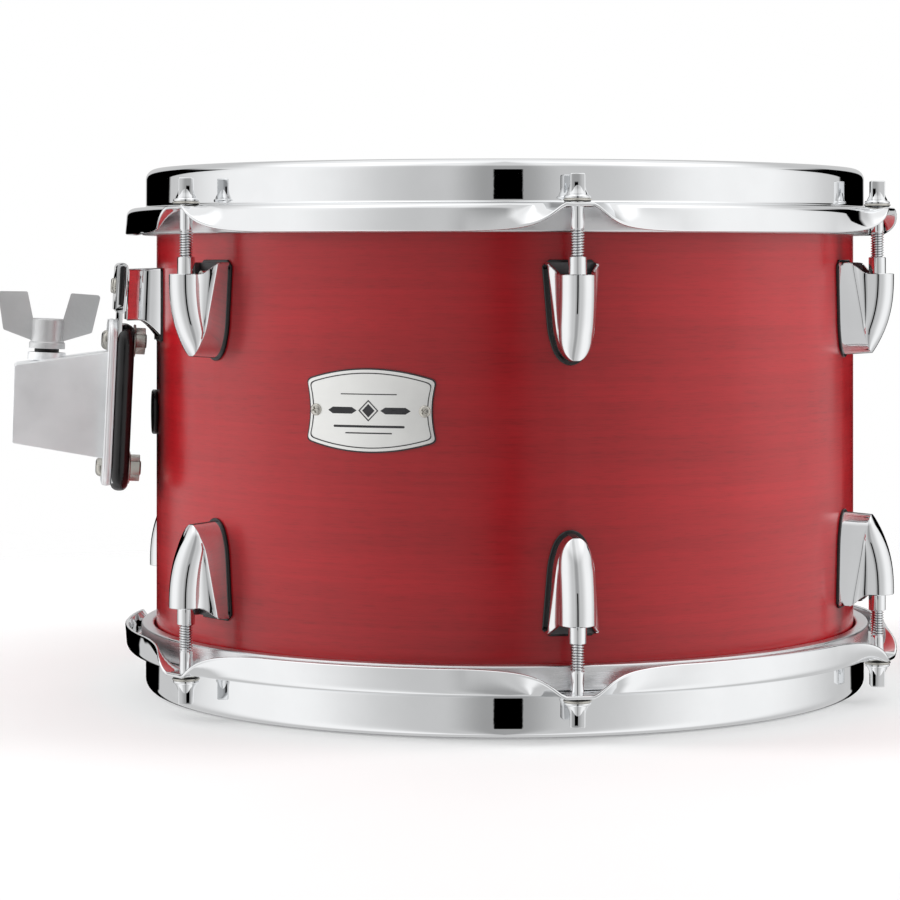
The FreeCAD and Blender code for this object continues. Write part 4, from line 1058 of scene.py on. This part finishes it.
def rod_head(sizes, level):
    """The square head of a rod on its flared, round foot."""
    flat = sizes.head / 2
    foot = ROD_HEAD_LEVEL - ROD_HEAD_HEIGHT
    bm = bmesh.new()
    bmesh.ops.create_cube(bm, size=1.0)
    height = ROD_HEAD_LEVEL - foot - 0.0006
    bmesh.ops.scale(bm, verts=bm.verts, vec=(sizes.head, sizes.head, height))
    bmesh.ops.translate(bm, verts=bm.verts, vec=(0, 0, ROD_HEAD_LEVEL - height / 2))
    upright = [e for e in bm.edges if abs(e.verts[0].co.z - e.verts[1].co.z) > height / 2]
    round_edges(bm, upright, 0.0005)
    top = [f for f in bm.faces if f.normal.z > 0.9]
    rim = [e for f in top for e in f.edges]
    round_edges(bm, rim, 0.0006)
    collar = sizes.collar
    flare = [
        (0.0, level),
        (collar - 0.0003, level),
        (collar, level + 0.0003),
        (collar, level + 0.0009),
        (collar - 0.0003, level + 0.0013),
        (collar - 0.0009, level + 0.0015),
        (flat + 0.0012, level + 0.0021),
        (flat + 0.0006, level + 0.0032),
        (flat + 0.0002, level + 0.0046),
        (flat - 0.0002, level + 0.0058),
        (0.0, level + 0.0058),
    ]
    return absorb(bm, turned(flare, 40))


class TOM_OT_tension_rods(bpy.types.Operator):
    """Make the twelve tension rods with their washers"""

    bl_idname = "tom.tension_rods"
    bl_label = "Tension Rods"

    def execute(self, context):
        sizes = context.scene.tom_rods
        washer_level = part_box("rod_washer_batter_2")[0].z - MIDDLE
        head_level = ROD_HEAD_LEVEL - ROD_HEAD_HEIGHT
        rod = rod_head(sizes, head_level)
        neck = [
            (0.0, sizes.thread_level - 0.001),
            (sizes.core, sizes.thread_level - 0.001),
            (sizes.neck, sizes.thread_level + 0.0004),
            (sizes.neck, head_level + 0.0004),
            (0.0, head_level + 0.0004),
        ]
        absorb(rod, turned(neck, 28))
        tip = [
            (0.0, ROD_TIP_LEVEL),
            (sizes.core - 0.0006, ROD_TIP_LEVEL),
            (sizes.core, ROD_TIP_LEVEL + 0.0008),
            (sizes.core, ROD_TIP_LEVEL + 0.0022),
            (0.0, ROD_TIP_LEVEL + 0.0022),
        ]
        absorb(rod, turned(tip, 28))
        absorb(
            rod,
            thread(sizes.core, sizes.crest, sizes.pitch, ROD_TIP_LEVEL + 0.0014, sizes.thread_level),
        )
        bore = sizes.crest + 0.0001

        def ring(radius, low, high):
            edge = min(0.00022, (high - low) / 3)
            return [
                (bore, low + edge),
                (bore + edge, low),
                (radius - edge, low),
                (radius, low + edge),
                (radius, high - edge),
                (radius - edge, high),
                (bore + edge, high),
                (bore, high - edge),
            ]

        split = washer_level + 0.00045
        soft = turned(ring(sizes.washer - 0.0004, washer_level, split), 44, closed=True)
        steel = turned(ring(sizes.washer, split, washer_level + 0.0011), 44, closed=True)
        washers = absorb(soft, steel, 1)
        for bm in (rod, washers):
            bmesh.ops.translate(bm, verts=bm.verts, vec=(ROD_CIRCLE, 0, 0))
        for side in SIDES:
            for count, angle in enumerate(LUG_ANGLES, 1):
                place = lug_place(side, angle)
                roll = Matrix.Rotation(radians(17 + 31 * count), 4, "Z")
                turn = Matrix.Translation((ROD_CIRCLE, 0, 0)) @ roll
                turn = turn @ Matrix.Translation((-ROD_CIRCLE, 0, 0))
                tag = f"{side}_{count}"
                # The rod's second slot darkens the thread's roots as painted shade.
                finish_piece(
                    f"tension_rod_{tag}_cut",
                    moved(rod, place @ turn),
                    f"rod_{tag}",
                    ["chrome_plate", "raw_casting"],
                    [f"tension_rod_{tag}"],
                    sharp=30.0,
                )
                finish_piece(
                    f"rod_washer_{tag}_pair",
                    moved(washers, place),
                    f"washer_{tag}",
                    ["black_nylon", "zinc_steel"],
                    [f"rod_washer_{tag}"],
                    sharp=30.0,
                )
        rod.free()
        washers.free()
        return {"FINISHED"}


# ---------------------------------------------------------------- badge


def badge_outline(sizes, inset=0.0):
    """Outline of the badge as (across, up) points, drawn in by inset, with soft corners."""
    half_width = sizes.width / 2 - inset
    half_side = sizes.side / 2 - inset * 0.8
    crown = sizes.height / 2 - sizes.side / 2 - inset * 0.2
    corners = [
        (half_width, half_side),
        (-half_width, half_side),
        (-half_width, -half_side),
        (half_width, -half_side),
    ]
    sides = [
        bow(corners[0], corners[1], -crown, 24),
        bow(corners[1], corners[2], sizes.waist, 12),
        bow(corners[2], corners[3], -crown, 24),
        bow(corners[3], corners[0], sizes.waist, 12),
    ]
    outline = []
    for count, side in enumerate(sides):
        outline += side[1:-1]
        start, corner, end = Vector(side[-2]), Vector(side[-1]), Vector(sides[(count + 1) % 4][1])
        for share in (0.25, 0.5, 0.75):
            point = start.lerp(corner, share).lerp(corner.lerp(end, share), share)
            outline.append((point.x, point.y))
    return outline


def ribbon(outer, inner, thickness):
    """A flat ring between two outlines with the same number of points."""

    def at(points, depth):
        return [(across, -depth, up) for across, up in points]

    rings = [at(outer, 0.0), at(outer, thickness), at(inner, thickness), at(inner, 0.0), at(outer, 0.0)]
    return skinned(rings)


def wrap(bm, radius, angle, level):
    """Bends a shape drawn in the X Z plane, with its front at minus Y, round the shell."""
    for vert in bm.verts:
        out = radius - vert.co.y
        turn = angle + vert.co.x / radius
        vert.co = (out * cos(turn), out * sin(turn), MIDDLE + level + vert.co.z)
    bmesh.ops.recalc_face_normals(bm, faces=bm.faces)


def slice_upright(bm, half_width, pieces):
    """Cuts a shape into upright strips, so that it can bend."""
    for count in range(1, pieces):
        cut = -half_width + 2 * half_width * count / pieces
        geom = bm.verts[:] + bm.edges[:] + bm.faces[:]
        bmesh.ops.bisect_plane(bm, geom=geom, plane_co=(cut, 0, 0), plane_no=(1, 0, 0), dist=1e-6)


def cross_screw(head, shank, rise, reach):
    """A round-headed screw along Z, with a crossed recess in its head."""
    arm = head * 0.56
    web = head * 0.13

    def ring(radius, level):
        return [(radius * cos(tau * k / 64), radius * sin(tau * k / 64), level) for k in range(64)]

    def cross(share, level):
        points = []
        for count in range(64):
            angle = tau * count / 64
            off = abs((angle + pi / 4) % (pi / 2) - pi / 4)
            radius = share * min(arm, web / max(sin(off), 0.01))
            points.append((radius * cos(angle), radius * sin(angle), level))
        return points

    dome = [ring(head * cos(turn), rise * sin(turn) ** 0.8) for turn in (0.18, 0.4, 0.65, 0.88)]
    rings = [
        ring(shank * 0.7, -reach),
        ring(shank, -reach + 0.0005),
        ring(shank, 0.0),
        ring(head * 0.97, 0.0),
        ring(head, 0.0001),
        *dome,
        cross(1.0, rise * 0.9),
        cross(0.9, rise * 0.8),
        cross(0.72, rise * 0.2),
    ]
    return skinned(rings, cap_start=True, cap_end=True)


class TOM_OT_badge(bpy.types.Operator):
    """Make the badge, a pinched oval plate with a plain enamel ornament, and its two screws"""

    bl_idname = "tom.badge"
    bl_label = "Badge"

    def execute(self, context):
        sizes = context.scene.tom_badge
        half_width = sizes.width / 2
        face = plate(badge_outline(sizes), sizes.gauge)
        front = [e for e in face.edges if all(v.co.y < -sizes.gauge * 0.9 for v in e.verts)]
        round_edges(face, front, 0.0003)
        slice_upright(face, half_width, 26)
        # A dark plate a little larger than the badge, which shows as a dark rim round it.
        dark_rim_plate = plate(badge_outline(sizes, -0.0005), sizes.gauge * 0.6)
        slice_upright(dark_rim_plate, half_width, 26)
        film = 0.00012
        enamel = ribbon(badge_outline(sizes, 0.0012), badge_outline(sizes, 0.0016), film)
        # across, up, half the length, height and how far the ends point
        bars = [
            (0.0112, 0.0, 0.0062, 0.0026, 0.8),
            (-0.0112, 0.0, 0.0062, 0.0026, 0.8),
            (0.0, -0.0062, 0.0150, 0.0009, 0.3),
            (0.0, -0.0088, 0.0098, 0.0005, 0.2),
            (0.0, 0.0064, 0.0118, 0.0004, 0.2),
        ]
        for across, up, long, tall, point in bars:
            shape = [(long, 0), (long - point * tall, tall), (-long + point * tall, tall), (-long, 0)]
            shape += [(-long + point * tall, -tall), (long - point * tall, -tall)]
            bar = plate([(across + x, up + z * 0.5) for x, z in shape], film)
            slice_upright(bar, half_width, 26)
            absorb(enamel, bar)
        for radius, inner in ((0.0042, 0.0036), (0.0026, 0.0)):
            outer = [(radius * cos(pi * k / 2), radius * sin(pi * k / 2)) for k in range(4)]
            if inner:
                hole = [(inner * cos(pi * k / 2), inner * sin(pi * k / 2)) for k in range(4)]
                absorb(enamel, ribbon(outer, hole, film))
            else:
                absorb(enamel, plate(outer, film))
        bmesh.ops.translate(enamel, verts=enamel.verts, vec=(0, -sizes.gauge, 0))
        badge = absorb(absorb(face, enamel, 1), dark_rim_plate, 1)
        wrap(badge, SHELL_RADIUS, sizes.angle, sizes.level)
        finish_piece(
            "badge_pressed",
            badge,
            DRUM,
            ["badge_plate", "badge_enamel"],
            ["badge"],
            sharp=35.0,
        )
        self.screws(sizes)
        return {"FINISHED"}

    def screws(self, sizes):
        """Two screws that point at the drum's axis, each turned a little differently."""
        seat = SHELL_RADIUS + sizes.gauge
        screw = cross_screw(sizes.screw_head, shank=0.0012, rise=0.0012, reach=0.005)
        pair = bmesh.new()
        for hand, turn in ((-1, 0.3), (1, 0.9)):
            angle = sizes.angle + hand * sizes.screw_span / 2 / SHELL_RADIUS
            place = Matrix.Translation((seat * cos(angle), seat * sin(angle), MIDDLE + sizes.level))
            place = place @ Matrix.Rotation(angle, 4, "Z") @ Matrix.Rotation(pi / 2, 4, "Y")
            absorb(pair, moved(screw, place @ Matrix.Rotation(turn, 4, "Z")))
        screw.free()
        drum_piece("badge_screws_crossed", pair, "zinc_steel", "badge_screws", sharp=35.0)


# ---------------------------------------------------------------- nodes that stay


class TOM_OT_shell(bpy.types.Operator):
    """Finish the shell, the heads and the small parts that keep their CAD shape"""

    bl_idname = "tom.shell"
    bl_label = "Shell and Heads"

    def execute(self, context):
        for node, material in KEPT.items():
            refinish(node, material)
        return {"FINISHED"}


KEPT = {
    "shell": "stained_maple",
    "batter_head": "coated_film",
    "resonant_head": "clear_film",
    "shell_screws": "zinc_steel",
    "bracket_gaskets": "black_rubber",
}


# sizes of the bracket, upright on the X axis, before it leans
BRACKET_PIVOT = (0.165, 0.0, 0.066)
POST_OFFSET = 0.014
PAD = {
    "half": 0.023,
    "low": -0.0253,
    "high": 0.0454,
    "corner": 0.009,
    "back": 0.161,
    "front": 0.1684,
    "soft": 0.0032,
}
FLANGE = {
    "half": 0.0212,
    "low": -0.0235,
    "high": 0.0472,
    "corner": 0.009,
    "back": 0.1685,
    "front": 0.172,
    "soft": 0.0016,
}


def rounded_box(half, low, high, corner, steps=5):
    """Outline of a box with soft corners, as (across, up) points."""
    points = []
    for count, (side, top) in enumerate(((1, 1), (-1, 1), (-1, -1), (1, -1))):
        centre = (side * (half - corner), (high - corner) if top > 0 else (low + corner))
        points += arc(centre, corner, 90 * count, 90 * count + 90, steps)
    return points


def bracket_post(middle):
    """A post on the X axis side: a foot on the shell, a pinched web, and a face for the hanger plate."""
    low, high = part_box("bracket_posts")
    top = high.z - MIDDLE - 0.0006
    face = -low.x - 0.0014
    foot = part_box("bracket_gaskets")
    seat = -foot[0].x
    chin = low.z - MIDDLE + 0.0012
    rings = []
    for share in (0.0, 0.04, 0.1, 0.2, 0.32, 0.45, 0.58, 0.7, 0.8, 0.88, 0.95, 1.0):
        half = 0.0038 + 0.0031 * (1 - share) ** 3 + 0.0031 * share**2.4
        under = chin + 0.0071 * (1 - (1 - min(1.0, share / 0.62)) ** 1.6)
        ring = []
        for across, up in rounded_box(half, under, top + 0.0004 * (1 - share), 0.0011):
            along = middle + across
            start = sqrt(seat**2 - along**2)
            end = face + (top - up) * sin(BRACKET_TILT)
            ring.append((start + (end - start) * share, along, up))
        rings.append(ring)
    return skinned(rings, cap_start=True, cap_end=True)


def bracket_place():
    """Carries a shape made upright on the X axis to the bracket, which leans out by its tilt."""
    pivot = Vector(BRACKET_PIVOT)
    tilt = Matrix.Translation(pivot) @ Matrix.Rotation(
        -BRACKET_TILT, 4, "Y"
    ) @ Matrix.Translation(-pivot)
    return lug_place("batter", pi) @ tilt


def slab(half, low, high, corner, back, front, soft):
    """An upright slab with round corners, from back to front along X, and soft edges."""
    rings = []
    for turn in (0, 18, 36, 54, 72, 90):
        inset = soft * (1 - sin(radians(turn)))
        depth = back + soft * (1 - cos(radians(turn)))
        rings.append((inset, depth))
    rings += [(inset, front - (depth - back)) for inset, depth in reversed(rings)]
    outlines = []
    for inset, depth in rings:
        outline = rounded_box(half - inset, low + inset, high - inset, corner - inset, 10)
        outlines.append([(depth, across, up) for across, up in outline])
    return skinned(outlines, cap_start=True, cap_end=True)


class TOM_OT_bracket(bpy.types.Operator):
    """Make the hanging bracket, its clamp and its wing bolt, with rounded edges"""

    bl_idname = "tom.bracket"
    bl_label = "Bracket"

    def execute(self, context):
        softened("vent_grommet", "vent_moulded", DRUM, "black_rubber", 0.0005, 2)
        posts = absorb(bracket_post(POST_OFFSET), bracket_post(-POST_OFFSET))
        bmesh.ops.transform(posts, matrix=lug_place("batter", pi), verts=posts.verts)
        drum_piece("bracket_posts_cast", posts, "chrome_plate", "bracket_posts", sharp=50.0)
        softened("hanger_plate", "hanger_plate_pressed", DRUM, "chrome_plate", 0.0004, 2)
        softened("hanger_grommets", "hanger_grommets_moulded", DRUM, "black_rubber", 0.0004, 2)
        pad = slab(**PAD)
        bmesh.ops.transform(pad, matrix=bracket_place(), verts=pad.verts)
        drum_piece("isolation_pad_moulded", pad, "black_rubber", "isolation_pad")
        flange = slab(**FLANGE)
        bmesh.ops.transform(flange, matrix=bracket_place(), verts=flange.verts)
        softened("clamp_body", "clamp_body_cast", DRUM, "satin_casting", 0.0011, 3, extra=flange)
        softened("clamp_shoe", "clamp_shoe_cast", "shoe", "zinc_steel", 0.0004, 2)
        softened("bracket_bolts", "bracket_bolts_headed", DRUM, "zinc_steel", 0.0004, 2)
        softened("bracket_nuts", "bracket_nuts_cut", DRUM, "zinc_steel", 0.0003, 2)
        # The wing bolt's darker finish is partly painted shade.
        softened(
            "wing_bolt", "wing_bolt_cast", "wing", "blasted_casting", 0.0007, 3
        )
        softened("wing_bolt_washer", "wing_bolt_washer_cut", DRUM, "black_nylon", 0.0003, 2)
        return {"FINISHED"}


# ---------------------------------------------------------------- studio


FLOOR_RADIUS = 1.6
FLOOR_FADE = (0.24, 0.8)
SOFTBOX_SIZE = (0.5, 0.6)
SOFTBOX_REACH = 1.1
SOFTBOX_HEIGHT = 0.3
CAMERA_SHIFT = (-0.061, -0.209)


class TOM_OT_studio(bpy.types.Operator):
    """Make the pale floor, the soft light and the camera"""

    bl_idname = "tom.studio"
    bl_label = "Studio"

    def execute(self, context):
        scene = context.scene
        studio = scene.tom_studio
        scene.view_settings.view_transform = "Standard"
        self.floor()
        self.light(scene, studio)
        self.camera(scene, studio)
        return {"FINISHED"}

    def floor(self):
        bench, surface, place = new_material("studio_floor")
        parts = bench.add("ShaderNodeSeparateXYZ", {0: place}).outputs
        squares = [bench.math("POWER", parts[axis], 2.0) for axis in ("X", "Y")]
        radius = bench.math("SQRT", bench.math("ADD", *squares))
        cloud = bench.group("Cloudy", Vector=place, Scale=3.0)["Value"]
        tone = bench.mix(cloud, (0.9, 0.9, 0.9, 1.0), (0.93, 0.93, 0.93, 1.0))
        bench.tree.links.new(tone, surface["Base Color"])
        bench.tree.links.new(bench.remap(radius, *FLOOR_FADE, 1.0, 0.0), surface["Alpha"])
        surface["Roughness"].default_value = 0.6
        bm = bmesh.new()
        bmesh.ops.create_circle(bm, cap_ends=True, radius=FLOOR_RADIUS, segments=96)
        bmesh.ops.translate(bm, verts=bm.verts, vec=(0, 0, -0.0005))
        mesh = bpy.data.meshes.new("floor")
        bm.to_mesh(mesh)
        bm.free()
        mesh.materials.append(bpy.data.materials[FINISH + "studio_floor"])
        floor = bpy.data.objects.new("floor", mesh)
        bpy.context.scene.collection.objects.link(floor)
        floor.visible_glossy = False

    def light(self, scene, studio):
        world = bpy.data.worlds.new("studio")
        scene.world = world
        world.use_nodes = True
        bench = Bench(world.node_tree)
        background = world.node_tree.nodes["Background"]
        way = bench.add("ShaderNodeTexCoord").outputs["Generated"]
        turned_way = bench.add(
            "ShaderNodeMapping", {"Vector": way, "Rotation": (0, 0, -studio.azimuth)}
        )
        parts = bench.add("ShaderNodeSeparateXYZ", {0: turned_way.outputs[0]}).outputs
        around = bench.math("ARCTAN2", parts["X"], bench.math("MULTIPLY", parts["Y"], -1.0))
        side = bench.math("ABSOLUTE", around)
        height = parts["Z"]

        def band(value, low, high, soft):
            return bench.group("Band", Value=value, From=low, To=high, Soft=soft)["Mask"]

        boxes = bench.math(
            "MULTIPLY", band(side, radians(70), radians(88), radians(45)), studio.softbox
        )
        ceiling = bench.math("MULTIPLY", band(height, 0.8, 2.0, 0.2), studio.overhead)
        front = bench.math("MULTIPLY", band(side, -1.0, radians(5), radians(14)), studio.front_dim)
        level = bench.math(
            "SUBTRACT", bench.math("ADD", bench.math("ADD", boxes, ceiling), studio.fill), front
        )
        gap = bench.math(
            "MULTIPLY",
            band(around, radians(-3.2), radians(5.2), radians(0.5)),
            band(height, -0.4, 0.2, 0.02),
        )
        lean = bench.math("ADD", side, bench.math("MULTIPLY", height, 1.1))
        flags = bench.math(
            "MULTIPLY", band(lean, radians(134), radians(166), radians(2)), band(height, -0.3, 0.4, 0.1)
        )
        dark = bench.math("SUBTRACT", 1.0, bench.math("MAXIMUM", gap, flags))
        level = bench.math("MULTIPLY", level, dark)
        seen = bench.add("ShaderNodeLightPath").outputs["Is Camera Ray"]
        strength = bench.add("ShaderNodeMix", {0: seen, 2: level, 3: 1.0}, data_type="FLOAT")
        bench.tree.links.new(strength.outputs[0], background.inputs["Strength"])
        background.inputs["Color"].default_value = (1.0, 1.0, 1.0, 1.0)
        for hand in (-1, 1):
            data = bpy.data.lights.new("softbox", "AREA")
            data.shape = "RECTANGLE"
            data.size, data.size_y = SOFTBOX_SIZE
            data.energy = studio.softbox_power
            lamp = bpy.data.objects.new("softbox", data)
            scene.collection.objects.link(lamp)
            lamp.visible_glossy = False
            turn = studio.azimuth + hand * studio.softbox_angle
            lamp.location = (sin(turn) * SOFTBOX_REACH, -cos(turn) * SOFTBOX_REACH, SOFTBOX_HEIGHT)
            lamp.rotation_euler = (radians(80), 0.0, turn)

    def camera(self, scene, studio):
        data = bpy.data.cameras.new("camera")
        data.lens = studio.lens
        data.sensor_width = 36.0
        data.shift_x, data.shift_y = CAMERA_SHIFT
        camera = bpy.data.objects.new("camera", data)
        scene.collection.objects.link(camera)
        side = studio.azimuth
        camera.location = (sin(side) * studio.distance, -cos(side) * studio.distance, studio.height)
        camera.rotation_euler = (pi / 2, 0.0, side)
        scene.camera = camera


# ---------------------------------------------------------------- panel and registration


OPERATORS = [
    TOM_OT_shell,
    TOM_OT_hoops,
    TOM_OT_lugs,
    TOM_OT_tension_rods,
    TOM_OT_badge,
    TOM_OT_bracket,
    TOM_OT_studio,
]


class TOM_PT_pieces(bpy.types.Panel):
    """Lists what makes each piece of the drum, and its sizes"""

    bl_idname = "TOM_PT_pieces"
    bl_label = "Rack Tom"
    bl_space_type = "VIEW_3D"
    bl_region_type = "UI"
    bl_category = "Tom"

    def draw(self, context):
        for operator in OPERATORS:
            self.layout.operator(operator.bl_idname)
        for name, group in SETTINGS.items():
            box = self.layout.box()
            box.label(text=group.__doc__)
            for key in group.__annotations__:
                box.prop(getattr(context.scene, name), key)


def register():
    for name, group in SETTINGS.items():
        bpy.utils.register_class(group)
        setattr(bpy.types.Scene, name, PointerProperty(type=group))
    for operator in OPERATORS:
        bpy.utils.register_class(operator)
    bpy.utils.register_class(TOM_PT_pieces)


def unregister():
    bpy.utils.unregister_class(TOM_PT_pieces)
    for operator in reversed(OPERATORS):
        bpy.utils.unregister_class(operator)
    for name, group in reversed(SETTINGS.items()):
        delattr(bpy.types.Scene, name)
        bpy.utils.unregister_class(group)


def main():
    register()
    make_finishes(bpy.context.scene.tom_finishes)
    bpy.ops.tom.shell()
    bpy.ops.tom.hoops()
    bpy.ops.tom.lugs()
    bpy.ops.tom.tension_rods()
    bpy.ops.tom.badge()
    bpy.ops.tom.bracket()
    bpy.ops.tom.studio()


if __name__ == "__main__":
    main()
